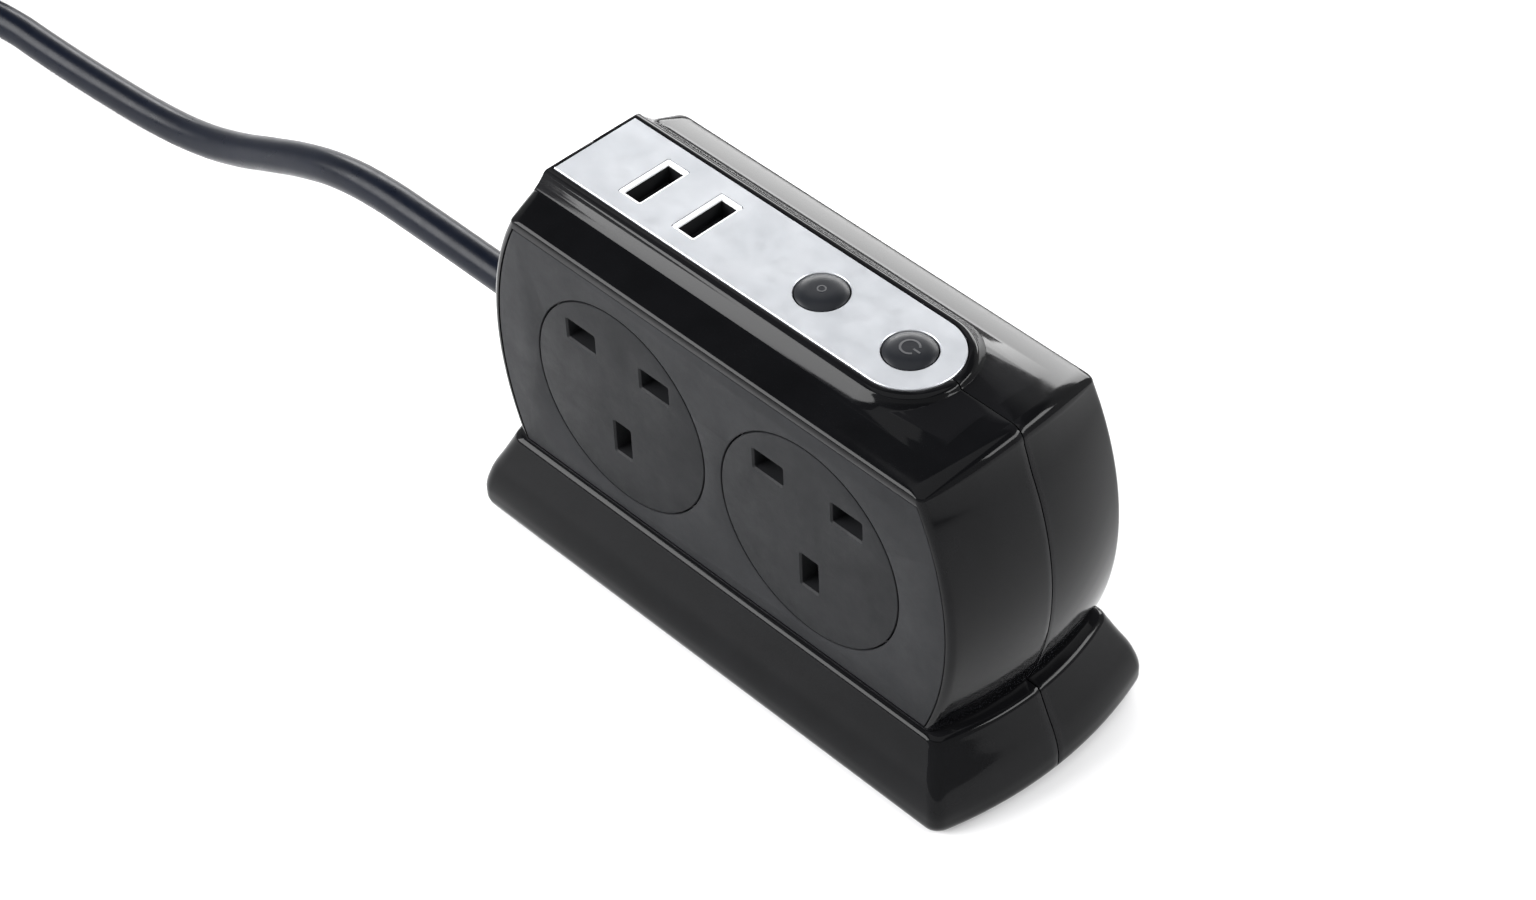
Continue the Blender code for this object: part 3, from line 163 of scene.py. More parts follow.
finishes = {
    "glossBlack": makeFinish("glossBlack", (0.0024, 0.0025, 0.0029), (0.0036, 0.0037, 0.0043), (0.06, 0.12), 900,
                             0.03, wear=((0.009, 0.009, 0.010), 0.4), depth=0.02 * mm,
                             extras={"Specular IOR Level": 0.11}),
    "mattePanel": makeFinish("mattePanel", (0.012, 0.0125, 0.0138), (0.0155, 0.016, 0.0175), (0.50, 0.60), 2600,
                             0.35, extras={"Specular IOR Level": 0.12}),
    "matteDisc": makeFinish("matteDisc", (0.0088, 0.0092, 0.0102), (0.0118, 0.0122, 0.0134), (0.50, 0.60), 2600,
                            0.35, extras={"Specular IOR Level": 0.12}),
    "satinSilver": makeFinish("satinSilver", (0.39, 0.405, 0.43), (0.46, 0.475, 0.50), (0.30, 0.42), 3000, 0.12,
                              metallic=0.5, depth=0.02 * mm),
    "brightSteel": makeFinish("brightSteel", (0.72, 0.72, 0.74), (0.80, 0.80, 0.82), (0.16, 0.30), 2400, 0.08,
                              metallic=1.0, depth=0.02 * mm),
    "polishedRim": makeFinish("polishedRim", (0.78, 0.79, 0.81), (0.86, 0.87, 0.89), (0.28, 0.40), 2400, 0.06,
                              metallic=0.2, depth=0.02 * mm),
    "brass": makeFinish("brass", (0.66, 0.46, 0.19), (0.78, 0.57, 0.26), (0.22, 0.38), 1800, 0.1, metallic=1.0,
                        stretch=(1, 1, 0.15), depth=0.02 * mm),
    "smokedDome": makeFinish("smokedDome", (0.007, 0.008, 0.010), (0.011, 0.012, 0.015), (0.30, 0.40), 2200, 0.1,
                             wear=((0.03, 0.03, 0.034), 0.4), depth=0.02 * mm, extras={"Specular IOR Level": 0.16}),
    "cordSheath": makeFinish("cordSheath", (0.0018, 0.0030, 0.0070), (0.0030, 0.0045, 0.0095), (0.26, 0.36), 1400,
                             0.15, depth=0.03 * mm, extras={"Specular IOR Level": 0.12}),
    "mouldedRubber": makeFinish("mouldedRubber", (0.012, 0.013, 0.016), (0.018, 0.019, 0.023), (0.50, 0.65), 1800,
                                0.3),
    "plugPlastic": makeFinish("plugPlastic", (0.016, 0.017, 0.020), (0.022, 0.023, 0.027), (0.34, 0.46), 2200, 0.25,
                              wear=((0.07, 0.07, 0.075), 0.5)),
    "darkPlastic": makeFinish("darkPlastic", (0.006, 0.006, 0.007), (0.010, 0.010, 0.011), (0.42, 0.56), 1800, 0.2,
                              extras={"Specular IOR Level": 0.2}),
    "palePlastic": makeFinish("palePlastic", (0.50, 0.50, 0.46), (0.58, 0.57, 0.53), (0.45, 0.6), 1500, 0.2),
    "circuitBoard": makeFinish("circuitBoard", (0.020, 0.13, 0.045), (0.035, 0.19, 0.07), (0.3, 0.45), 700, 0.25),
    "dippedBlue": makeFinish("dippedBlue", (0.035, 0.09, 0.33), (0.055, 0.13, 0.42), (0.28, 0.42), 700, 0.3),
    "footRubber": makeFinish("footRubber", (0.014, 0.014, 0.014), (0.022, 0.022, 0.022), (0.7, 0.85), 1500, 0.4),
    "glazedWhite": makeFinish("glazedWhite", (0.76, 0.75, 0.70), (0.84, 0.83, 0.79), (0.2, 0.35), 500, 0.1),
    "greenLamp": makeFinish("greenLamp", (0.08, 0.42, 0.12), (0.14, 0.55, 0.2), (0.15, 0.3), 400, 0.1),
    "printedGrey": makeFinish("printedGrey", (0.032, 0.033, 0.037), (0.045, 0.046, 0.050), (0.4, 0.55), 3000, 0.1),
    "tieFabric": makeFinish("tieFabric", (0.012, 0.012, 0.013), (0.026, 0.026, 0.028), (0.75, 0.9), 1600, 0.6,
                            depth=0.2 * mm),
}

# what each kept node is made of
keptFinish = {
    "usb_board": "circuitBoard", "surge_board": "circuitBoard", "usb_transformer": "darkPlastic",
    "switch_body": "darkPlastic", "surge_lamp": "greenLamp", "thermal_fuse": "brightSteel",
    "live_busbar": "brass", "neutral_busbar": "brass", "earth_busbar": "brass",
    "front_contact_carrier": "palePlastic", "rear_contact_carrier": "palePlastic", "cord_clamp": "palePlastic",
    "cord_tail": "cordSheath", "plug_live_pin": "brass", "plug_neutral_pin": "brass", "plug_earth_pin": "brass",
    "plug_fuse": "glazedWhite", "button_spring": "brightSteel", "varistor_1": "dippedBlue",
    "varistor_2": "dippedBlue", "varistor_3": "dippedBlue", "usb_tongue_far": "darkPlastic",
    "usb_tongue_near": "darkPlastic",
}
for name in frame["nodes"]:
    if name.startswith("shutter_spring") or name.startswith("case_screw"):
        keptFinish[name] = "brightSteel"
    elif name.startswith("shutter_"):
        keptFinish[name] = "darkPlastic"


# mesh helpers: meshes are made in mm and scaled once, when a piece is put in place
def newObject(name, data, finish=None):
    made = bpy.data.objects.new(name, data)
    bpy.context.scene.collection.objects.link(made)
    if finish:
        data.materials.append(finishes[finish])
    return made


def fromBmesh(mesh, name, finish):
    bmesh.ops.remove_doubles(mesh, verts=mesh.verts, dist=1e-5)
    bmesh.ops.recalc_face_normals(mesh, faces=mesh.faces)
    data = bpy.data.meshes.new(name)
    mesh.to_mesh(data)
    mesh.free()
    return newObject(name, data, finish)


def bridge(mesh, lower, upper):
    for i in range(len(lower)):
        j = (i + 1) % len(lower)
        mesh.faces.new((lower[i], lower[j], upper[j], upper[i]))


def loft(mesh, rings, closed=False):
    # a skin through rings of points; it ends in two caps, or runs back into its first ring
    made = [[mesh.verts.new(point) for point in ring] for ring in rings]
    for lower, upper in zip(made, made[1:]):
        bridge(mesh, lower, upper)
    if closed:
        bridge(mesh, made[-1], made[0])
    else:
        mesh.faces.new(made[0][::-1])
        mesh.faces.new(made[-1])
    return made


def loftPiece(name, finish, rings, closed=False):
    mesh = bmesh.new()
    loft(mesh, rings, closed)
    return fromBmesh(mesh, name, finish)


def addBox(mesh, low, high):
    size = [b - a for a, b in zip(low, high)]
    middle = [(a + b) / 2 for a, b in zip(low, high)]
    bmesh.ops.create_cube(mesh, size=1.0, matrix=Matrix.Translation(middle) @ Matrix.Diagonal((*size, 1.0)))


turnTo = {"X": Matrix.Rotation(math.pi / 2, 4, "Y"), "-X": Matrix.Rotation(-math.pi / 2, 4, "Y"),
          "Y": Matrix.Rotation(-math.pi / 2, 4, "X"), "-Y": Matrix.Rotation(math.pi / 2, 4, "X"), "Z": Matrix()}


def addRod(mesh, centre, radius, depth, axis="Z", sides=96, tip=None):
    bmesh.ops.create_cone(mesh, cap_ends=True, segments=sides, radius1=radius, depth=depth,
                          radius2=radius if tip is None else tip, matrix=Matrix.Translation(centre) @ turnTo[axis])


def addTurned(mesh, profile, centre, axis="Z", sides=96):
    # profile is (radius, height), bottom to top
    angles = [2 * math.pi * i / sides for i in range(sides)]
    rings = [[(radius * math.cos(angle), radius * math.sin(angle), height) for angle in angles]
             for radius, height in profile]
    before = set(mesh.verts)
    loft(mesh, rings)
    made = [vert for vert in mesh.verts if vert not in before]
    bmesh.ops.transform(mesh, matrix=Matrix.Translation(centre) @ turnTo[axis], verts=made)


def turned(name, finish, profile, centre, axis="Z", sides=96):
    mesh = bmesh.new()
    addTurned(mesh, profile, centre, axis, sides)
    return fromBmesh(mesh, name, finish)


def roundedRect(halfX, halfY, corner, steps=6):
    points = []
    for signX, signY, start in ((1, 1, 0), (-1, 1, 90), (-1, -1, 180), (1, -1, 270)):
        for i in range(steps + 1):
            angle = math.radians(start + 90 * i / steps)
            points.append((signX * (halfX - corner) + corner * math.cos(angle),
                           signY * (halfY - corner) + corner * math.sin(angle)))
    return points


def smoothPoints(points, steps):
    # a smooth curve through flat points
    line = [points[0], *points, points[-1]]
    made = []
    for p0, p1, p2, p3 in zip(line, line[1:], line[2:], line[3:]):
        for i in range(steps):
            t = i / steps
            made.append(tuple(0.5 * (2 * b + (c - a) * t + (2 * a - 5 * b + 4 * c - d) * t**2
                                     + (3 * b - a - 3 * c + d) * t**3) for a, b, c, d in zip(p0, p1, p2, p3)))
    return made + [points[-1]]


def applySteps(target):
    graph = bpy.context.evaluated_depsgraph_get()
    result = bpy.data.meshes.new_from_object(target.evaluated_get(graph))
    target.modifiers.clear()
    target.data = result


def shapeWith(target, mesh, how="DIFFERENCE"):
    # cuts or joins everything in one tool mesh
    bmesh.ops.recalc_face_normals(mesh, faces=mesh.faces)
    data = bpy.data.meshes.new("tool")
    mesh.to_mesh(data)
    mesh.free()
    tool = newObject("tool", data)
    step = target.modifiers.new("shape", "BOOLEAN")
    step.operation = how
    step.solver = "EXACT"
    step.object = tool
    applySteps(target)
    bpy.data.objects.remove(tool, do_unlink=True)


def softenEdges(target, width, segments=2, angle=30):
    # the small moulded radius on every hard edge
    step = target.modifiers.new("soften", "BEVEL")
    step.width = width
    step.segments = segments
    step.limit_method = "ANGLE"
    step.angle_limit = math.radians(angle)
    step.use_clamp_overlap = True
    applySteps(target)


def place(piece, *nodes, body=None, slot=None, sharp=38):
    # scales a finished piece to metres and hands it to its body
    piece.data.transform(Matrix.Scale(mm, 4))
    piece.data.shade_smooth()
    piece.data.set_sharp_from_angle(angle=math.radians(sharp))
    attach(piece, body or bodyOf[nodes[0]])
    if nodes:
        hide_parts(*nodes)
    return piece


# supply cord, in mm: down from the casing, then folded into a tied hank with its plug beyond it
cord = dict(
    diameter=8.4, length=1.45,
    route=((-91.1, 0, 32.4), (-108, 0, 32.4), (-123, 0, 32.3), (-138, 0, 31.8), (-152, -0.1, 29.7),
           (-166, -0.2, 25.2), (-180, -0.4, 19.2), (-194, -0.6, 13.0), (-209, -1.0, 8.2), (-225, -1.6, 5.6),
           (-242, -2.4, 4.7), (-260, -3.4, 4.6), (-272, -4.1, 5.0), (-281, -4.6, 5.3)),
    hankCentre=(-383.0, 8.2), halfRun=42.0, foldRadius=29.8, lowLayer=5.5, runs=12.9, stepIn=2.55, stepOut=9.8,
    climb=6.35,
    tail=((-426.0, -25.8, 13.9), (-484.2, -6.1, 11.0)),
)


def ease(share):
    return 0.5 - 0.5 * math.cos(math.pi * min(1, max(0, share)))


def hankPoint(travel):
    # travel counts runs and folds: out along the front run, a fold, back along the rear run, a fold;
    # the cord steps in beside itself, climbs onto the low layer and steps out again
    x, y = cord["hankCentre"]
    half = cord["halfRun"]
    pitch = cord["diameter"]
    inward = ease((travel - cord["stepIn"]) / 0.8) - ease((travel - cord["stepOut"]) / 0.8)
    radius = cord["foldRadius"] + pitch / 2 - pitch * inward
    height = cord["lowLayer"] + pitch * ease((travel - cord["climb"]) / 0.7)
    part, share = int(travel % 4), travel % 1
    if part in (0, 2):
        along = half - 2 * half * share
        return (x + along, y - radius, height) if part == 0 else (x - along, y + radius, height)
    if part == 1:
        angle = math.radians(-90 - 180 * share)
        return (x - half + radius * math.cos(angle), y + radius * math.sin(angle), height)
    angle = math.radians(90 - 180 * share)
    return (x + half + radius * math.cos(angle), y + radius * math.sin(angle), height)


def cordPoints():
    points = list(cord["route"])
    last, first = points[-1], hankPoint(0)
    for share in (0.2, 0.4, 0.6, 0.8):  # a long easy bend over to the front run
        points.append((last[0] + (first[0] - last[0]) * share, last[1] + (first[1] - last[1]) * ease(share),
                       cord["lowLayer"]))
    steps = 9
    points += [hankPoint(step / steps) for step in range(int(cord["runs"] * steps) + 1)]
    start, end = cord["tail"]
    for share in (0, 0.12, 0.24, 0.37, 0.5, 0.62, 0.74, 0.87, 1):
        points.append((start[0] + (end[0] - start[0]) * share, start[1] + (end[1] - start[1]) * ease(share),
                       start[2] + (end[2] - start[2]) * ease((share - 0.4) / 0.6)))
    return points


def makeCord():
    points = cordPoints()
    data = bpy.data.curves.new("mainsCord", "CURVE")
    data.dimensions = "3D"
    data.bevel_depth = cord["diameter"] / 2 * mm
    data.bevel_resolution = 8
    data.resolution_u = 4
    data.use_fill_caps = True
    spline = data.splines.new("BEZIER")
    spline.bezier_points.add(len(points) - 1)
    for knot, point in zip(spline.bezier_points, points):
        knot.co = Vector(point) * mm
        knot.handle_left_type = knot.handle_right_type = "AUTO"
    made = newObject("mainsCord", data, "cordSheath")
    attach(made, "strip")
    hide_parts("supply_cord", "cord_hank", "plug_lead")
    return made, sum((Vector(b) - Vector(a)).length for a, b in zip(points, points[1:])) * mm


mainsCord, cordRun = makeCord()
print("cord made, metres long:", round(cordRun, 3))

# where the cord leaves the casing
entry = dict(height=32.4, rootRadius=7.4, tipRadius=4.7, start=68.73, length=22.6, ribs=3, ribPitch=5.0, neck=5.6)


def reliefProfile(root, tip, length, ribs, pitch, firstRib):
    # a collar, then rounded ribs that get smaller towards the cord
    points = [(root, 0), (root, 1.6), (root - 0.25, 2.1), (root - 0.8, 2.4)]
    for i in range(ribs):
        at = firstRib + pitch * i
        out = root - 0.9 - 0.35 * i
        points += [(out - 0.85, at - 0.9), (out - 0.2, at - 0.45), (out, at), (out - 0.02, at + 0.9),
                   (out - 0.25, at + 1.4), (out - 0.95, at + 1.8)]
    points += [(tip + 0.35, length - 1.2), (tip + 0.1, length - 0.4), (tip - 0.3, length)]
    return points


def makeRelief():
    back = [(entry["rootRadius"], -6.4), (entry["rootRadius"], -3.8), (entry["neck"], -3.7), (entry["neck"], -0.2)]
    profile = back + reliefProfile(entry["rootRadius"], entry["tipRadius"], entry["length"], entry["ribs"],
                                   entry["ribPitch"], 5.6)
    made = turned("strainRelief", "mouldedRubber", profile, (-entry["start"], 0, entry["height"]), "-X", 64)
    return place(made, "cord_strain_relief", slot="cord_rubber", sharp=50)


strainRelief = makeRelief()


# casing, in mm
casing = dict(waistHalfLength=71.6, waistHeight=50.8, barrelRadius=72.5, halfWidth=24.4, endSwell=4.0, corner=2.0,
              edgeHeight=85.4, crownHeight=89.8, sideRound=1.0, endRound=3.4, wall=2.2, seam=0.3, inside=19.7,
              floor=0.8, plinthTop=21.7, plinthHalfLength=68.2, plinthHalfWidth=24.7, plinthSwell=5.0,
              plinthCorner=3.5, flare=6.4, recessFloor=21.9)
island = dict(farEnd=60.2, noseCentre=32.54, footHalfWidth=16.4, rimHalfWidth=12.6, rimHeight=91.0)
plate = dict(top=91.2, thickness=1.2, halfWidth=11.35, farEnd=59.3, edge=0.15)
panel = dict(foot=22.2, top=83.2, depth=2.2, rim=1.5, gap=0.3, chamfer=0.3)
outlet = dict(pitch=55.66, height=52.3, holeRadius=25.4, faceRadius=25.1, neckRadius=22.8, lineHeight=65.35,
              lineToLine=22.23, lineToEarth=22.23, flatSlot=(8.3, 5.0), earthSlot=(4.8, 8.4), chamfer=0.4)
usb = dict(places=(-41.1, -25.1), bezel=(6.4, 14.0), mouth=(4.9, 12.5), depth=13.2, tongue=(1.9, 10.8),
           tongueDrop=4.6)
rounds = dict(lensPlace=8.05, buttonPlace=32.65, holeRadius=5.92, capRadius=5.62, dome=0.9, lip=1.1)
screws = dict(places=((-46.0, 27.4), (46.0, 27.4), (-54.5, 77.0), (54.5, 77.0)), pillar=3.8, shank=1.8, head=3.2,
              headAt=22.0, headDepth=4.2, boreAt=3.0, boreLength=34.0)
feet = dict(place=(56.0, 19.5), radius=4.5, sunk=1.5)


def waistLine(height):
    rise = height - casing["waistHeight"]
    return casing["waistHalfLength"] - casing["barrelRadius"] + math.sqrt(casing["barrelRadius"]**2 - rise**2)


def crown(y):
    return casing["crownHeight"] - (casing["crownHeight"] - casing["edgeHeight"]) * (y / casing["halfWidth"])**2


def planOutline(halfLength, halfWidth, swell, corner, endSteps=36, cornerSteps=7):
    # both swollen ends with rounded corners, anticlockwise from the front of the +X end
    radius = (halfWidth**2 + swell**2) / (2 * swell)
    centre = halfLength - radius
    limit = math.asin((halfWidth - corner) / (radius - corner))
    hub = (centre + (radius - corner) * math.cos(limit), halfWidth - corner)
    points = []
    for i in range(cornerSteps + 1):
        angle = -math.pi / 2 + (math.pi / 2 - limit) * i / cornerSteps
        points.append((hub[0] + corner * math.cos(angle), -hub[1] + corner * math.sin(angle)))
    for i in range(1, endSteps):
        angle = -limit + 2 * limit * i / endSteps
        points.append((centre + radius * math.cos(angle), radius * math.sin(angle)))
    for i in range(cornerSteps + 1):
        angle = limit + (math.pi / 2 - limit) * i / cornerSteps
        points.append((hub[0] + corner * math.cos(angle), hub[1] + corner * math.sin(angle)))
    return points + [(-x, -y) for x, y in points]


def casingRings(inset, halfWidth, floor):
    # level rings from the table up: the flared plinth, the barrelled ends, then the rounded top edge
    shape = casing
    flare = ((0.0, 0.60), (0.5, 0.80), (1.4, 0.93), (3.2, 1.0), (6.4, 0.98), (10.6, 0.80), (14.8, 0.50),
             (18.6, 0.24), (20.2, 0.13), (20.9, 0.0))  # height and share of the flare
    top = shape["plinthTop"] - inset
    rings = []
    for height, share in smoothPoints(flare, 4):
        out = shape["flare"] * min(1.0, share) - inset
        outline = planOutline(shape["plinthHalfLength"] + out, shape["plinthHalfWidth"] + out,
                              shape["plinthSwell"], shape["plinthCorner"])
        rings.append([(x, y, floor + (top - floor) * height / flare[-1][0]) for x, y in outline])
    last = shape["edgeHeight"] - shape["endRound"] - 2.0
    for i in range(40):
        level = top + (last - top) * i / 39
        outline = planOutline(waistLine(level) - inset, halfWidth, shape["endSwell"], shape["corner"])
        rings.append([(x, y, level) for x, y in outline])
    for degrees in range(0, 91, 9):
        angle = math.radians(degrees)
        drawn = 1 - math.cos(angle)
        halfLength = waistLine(shape["edgeHeight"] - shape["sideRound"]) - inset - shape["endRound"] * drawn
        width = halfWidth - shape["sideRound"] * drawn
        ring = []
        for x, y in planOutline(halfLength, width, shape["endSwell"], shape["corner"]):
            endShare = 1 - min(1, abs(y) / width)**4
            drop = shape["sideRound"] + (shape["endRound"] - shape["sideRound"]) * endShare
            ring.append((x, y, crown(y) - inset - drop * (1 - math.sin(angle))))
        rings.append(ring)
    return rings


def addCrowned(mesh, rings, inset, columns=24):
    # the rings skinned, a flat bottom, and a top that follows the crown
    made = [[mesh.verts.new(point) for point in ring] for ring in rings]
    for lower, upper in zip(made, made[1:]):
        bridge(mesh, lower, upper)
    mesh.faces.new(made[0][::-1])
    top = made[-1]
    count = len(top)
    half = count // 2
    tip = half // 2
    rows = [[top[tip]]]
    rows += [[top[i], top[half - 1 - i]] for i in reversed(range(tip))]
    rows += [[top[count - 1 - i], top[half + i]] for i in range(tip)]
    rows += [[top[half + tip]]]
    strips = []
    for row in rows:
        if len(row) == 2:
            front, back = row
            inner = []
            for k in range(1, columns):
                y = front.co.y + (back.co.y - front.co.y) * k / columns
                inner.append(mesh.verts.new((front.co.x, y, crown(y) - inset)))
            row = [front, *inner, back]
        strips.append(row)
    for first, second in zip(strips, strips[1:]):
        for k in range(columns):
            face = []
            for strip, at in ((first, k), (first, k + 1), (second, k + 1), (second, k)):
                vert = strip[min(at, len(strip) - 1)]
                if vert not in face:
                    face.append(vert)
            mesh.faces.new(face)


def stadium(halfWidth, farEnd, height, steps=40):
    # square at the far end, round at the nose
    points = [(-farEnd, -halfWidth, height)]
    for i in range(steps + 1):
        angle = -math.pi / 2 + math.pi * i / steps
        points.append((island["noseCentre"] + halfWidth * math.cos(angle), halfWidth * math.sin(angle), height))
    points.append((-farEnd, halfWidth, height))
    return points


def barrelOutline(foot, top, shrink, levels=44):
    right = []
    for i in range(levels + 1):
        height = foot + shrink + (top - foot - 2 * shrink) * i / levels
        right.append((waistLine(height) - casing["endSwell"] - panel["rim"] - shrink, height))
    return right + [(-x, z) for x, z in reversed(right)]


def addIsland(mesh):
    foot = crown(island["footHalfWidth"])
    rim = island["rimHeight"]
    spread = island["footHalfWidth"] - island["rimHalfWidth"]
    wall = smoothPoints(((1.0, foot - 0.1), (0.66, foot + 0.9), (0.38, rim - 1.2), (0.20, rim - 0.35), (0.0, rim)),
                        5)
    profile = [(1.0, foot - casing["wall"] / 2), *wall]
    loft(mesh, [stadium(island["rimHalfWidth"] + spread * share, island["farEnd"], height)
                for share, height in profile])


def makeCasing():
    mesh = bmesh.new()
    addCrowned(mesh, casingRings(0.0, casing["halfWidth"], casing["floor"]), 0.0)
    whole = fromBmesh(mesh, "frontShell", "glossBlack")
    tool = bmesh.new()
    addIsland(tool)
    shapeWith(whole, tool, "UNION")
    tool = bmesh.new()
    wall = casing["wall"]
    addCrowned(tool, casingRings(wall, casing["inside"], casing["floor"] + wall), wall)
    shapeWith(whole, tool)
    tool = bmesh.new()
    for x, z in screws["places"]:
        addRod(tool, (x, 0, z), screws["pillar"], 2 * (casing["inside"] + wall / 2), "Y", 32)
    shapeWith(whole, tool, "UNION")
    # recesses, plate bed, foot pockets and the cord seats, which don't touch each other
    tool = bmesh.new()
    for side in (-1, 1):
        outline = barrelOutline(panel["foot"], panel["top"], 0.0)
        loft(tool, [[(x, side * y, z) for x, z in outline]
                    for y in (casing["recessFloor"], casing["halfWidth"] + 1)])
    bed = plate["top"] - plate["thickness"] - fit
    loft(tool, [stadium(plate["halfWidth"] + fit, plate["farEnd"] + fit, z) for z in (bed, plate["top"] + 1)])
    for x in (-feet["place"][0], feet["place"][0]):
        for y in (-feet["place"][1], feet["place"][1]):
            addRod(tool, (x, y, casing["floor"]), feet["radius"] + fit, 2 * feet["sunk"], sides=40)
    seat = waistLine(entry["height"]) - 0.8
    addRod(tool, (-seat - 5, 0, entry["height"]), entry["rootRadius"] + fit, 10, "X", 64)
    shapeWith(whole, tool)
    # openings through the walls
    tool = bmesh.new()
    for side in (-1, 1):
        for centre in (-outlet["pitch"] / 2, outlet["pitch"] / 2):
            addRod(tool, (centre, side * casing["recessFloor"], outlet["height"]), outlet["neckRadius"] + fit, 6.6,
                   "Y")
    wide, long = (size / 2 + fit for size in usb["bezel"])
    for x in usb["places"]:
        addBox(tool, (x - wide, -long, bed - 6), (x + wide, long, bed + 1))
    for x in (rounds["lensPlace"], rounds["buttonPlace"]):
        addRod(tool, (x, 0, bed), rounds["holeRadius"], 12, sides=48)
    addRod(tool, (-casing["waistHalfLength"], 0, entry["height"]), entry["neck"] + fit, 16, "X", 48)
    for x, z in screws["places"]:
        addRod(tool, (x, screws["headAt"], z), screws["head"], screws["headDepth"], "Y", 32)
    shapeWith(whole, tool)
    tool = bmesh.new()
    for x, z in screws["places"]:
        addRod(tool, (x, screws["boreAt"], z), screws["shank"], screws["boreLength"], "Y", 24)
    shapeWith(whole, tool)
    # one closed body so far; a copy gives the rear half, and each half is trimmed at the seam
    rear = newObject("rearShell", whole.data.copy())
    big = 200
    tool = bmesh.new()
    addBox(tool, (-big, -casing["seam"] / 2, -big), (big, big, big))
    shapeWith(whole, tool)
    tool = bmesh.new()
    addBox(tool, (-big, -big, -big), (big, casing["seam"] / 2, big))
    shapeWith(rear, tool)
    for shell, node in ((whole, "front_shell"), (rear, "rear_shell")):
        softenEdges(shell, 0.22)
        place(shell, node, slot="gloss_black")


makeCasing()
print("casing made")


def makePanels():
    for name, node, side in (("frontPanel", "front_panel", -1), ("rearPanel", "rear_panel", 1)):
        outer = casing["halfWidth"]
        edge = panel["chamfer"]
        rings = []
        for shrink, y in ((0.0, outer - panel["depth"]), (0.0, outer - edge), (edge * 0.3, outer - edge * 0.3),
                          (edge, outer)):
            outline = barrelOutline(panel["foot"], panel["top"], panel["gap"] + shrink)
            rings.append([(x, side * y, z) for x, z in outline])
        made = loftPiece(name, "mattePanel", rings)
        tool = bmesh.new()
        radius = outlet["holeRadius"]
        profile = ((radius, -4), (radius, -edge), (radius + edge * 0.3, -edge * 0.3), (radius + edge, 0),
                   (radius + edge, 2))
        for centre in (-outlet["pitch"] / 2, outlet["pitch"] / 2):
            addTurned(tool, profile, (centre, side * outer, outlet["height"]), "Y" if side > 0 else "-Y", 128)
        shapeWith(made, tool)
        place(made, node, slot="matte_black")


def addSlot(mesh, x, z, size, front, depth):
    # a straight slot with a small funnel at its mouth
    halfX, halfZ = size[0] / 2, size[1] / 2
    edge = outlet["chamfer"]
    rings = []
    for grow, y in ((0, depth), (0, front - edge), (edge, front), (edge, front + 1)):
        outline = roundedRect(halfX + grow, halfZ + grow, 0.35 + grow * 0.5, 3)
        rings.append([(x + px, y, z + pz) for px, pz in outline])
    loft(mesh, rings)


def makeOutlets():
    front = casing["halfWidth"]
    shelf = front - panel["depth"]
    radius = outlet["faceRadius"]
    edge = 0.3
    profile = ((outlet["neckRadius"], casing["inside"]), (outlet["neckRadius"], shelf), (radius, shelf),
               (radius, front - edge), (radius - edge * 0.3, front - edge * 0.3), (radius - edge, front))
    for side in (-1, 1):
        for end, centre in (("left", side * outlet["pitch"] / 2), ("right", -side * outlet["pitch"] / 2)):
            label = ("front" if side < 0 else "rear") + end.capitalize()
            made = turned("outletFace" + label, "matteDisc", profile, (side * centre, 0, outlet["height"]), "Y",
                          128)
            tool = bmesh.new()
            for x in (-outlet["lineToLine"] / 2, outlet["lineToLine"] / 2):
                addSlot(tool, side * centre + x, outlet["lineHeight"], outlet["flatSlot"], front, 10)
            earthHeight = outlet["lineHeight"] - outlet["lineToEarth"]
            addSlot(tool, side * centre, earthHeight, outlet["earthSlot"], front, 10)
            shapeWith(made, tool)
            if side < 0:
                made.data.transform(Matrix.Rotation(math.pi, 4, "Z"))
            place(made, f"outlet_face_{'front' if side < 0 else 'rear'}_{end}", slot="matte_black")


makePanels()
makeOutlets()
print("panels and outlets made")


# top plate and what shows through it
def makePlate():
    edge = plate["edge"]
    low = plate["top"] - plate["thickness"]
    rings = [stadium(plate["halfWidth"] - shrink, plate["farEnd"] - shrink, height)
             for shrink, height in ((0, low), (0, plate["top"] - edge), (edge, plate["top"]))]
    made = loftPiece("topPlate", "satinSilver", rings)
    tool = bmesh.new()
    for x in usb["places"]:
        halfX, halfY = (size / 2 + 0.15 for size in usb["bezel"])
        outline = roundedRect(halfX, halfY, 0.5)
        loft(tool, [[(x + px, py, z) for px, py in outline] for z in (low - 1, plate["top"] + 1)])
    radius = rounds["holeRadius"]
    for x in (rounds["lensPlace"], rounds["buttonPlace"]):
        addTurned(tool, ((radius, low - 1), (radius, plate["top"] - edge), (radius + edge, plate["top"]),
                         (radius + edge, plate["top"] + 1)), (x, 0, 0), sides=96)
    shapeWith(made, tool)
    place(made, "top_plate", slot="satin_silver")


def addMouth(x, halfX, halfY, sections):
    # rings of (inset, corner, height) round one mouth
    return [[(x + px, py, z) for px, py in roundedRect(halfX - inset, halfY - inset, corner)]
            for inset, corner, z in sections]


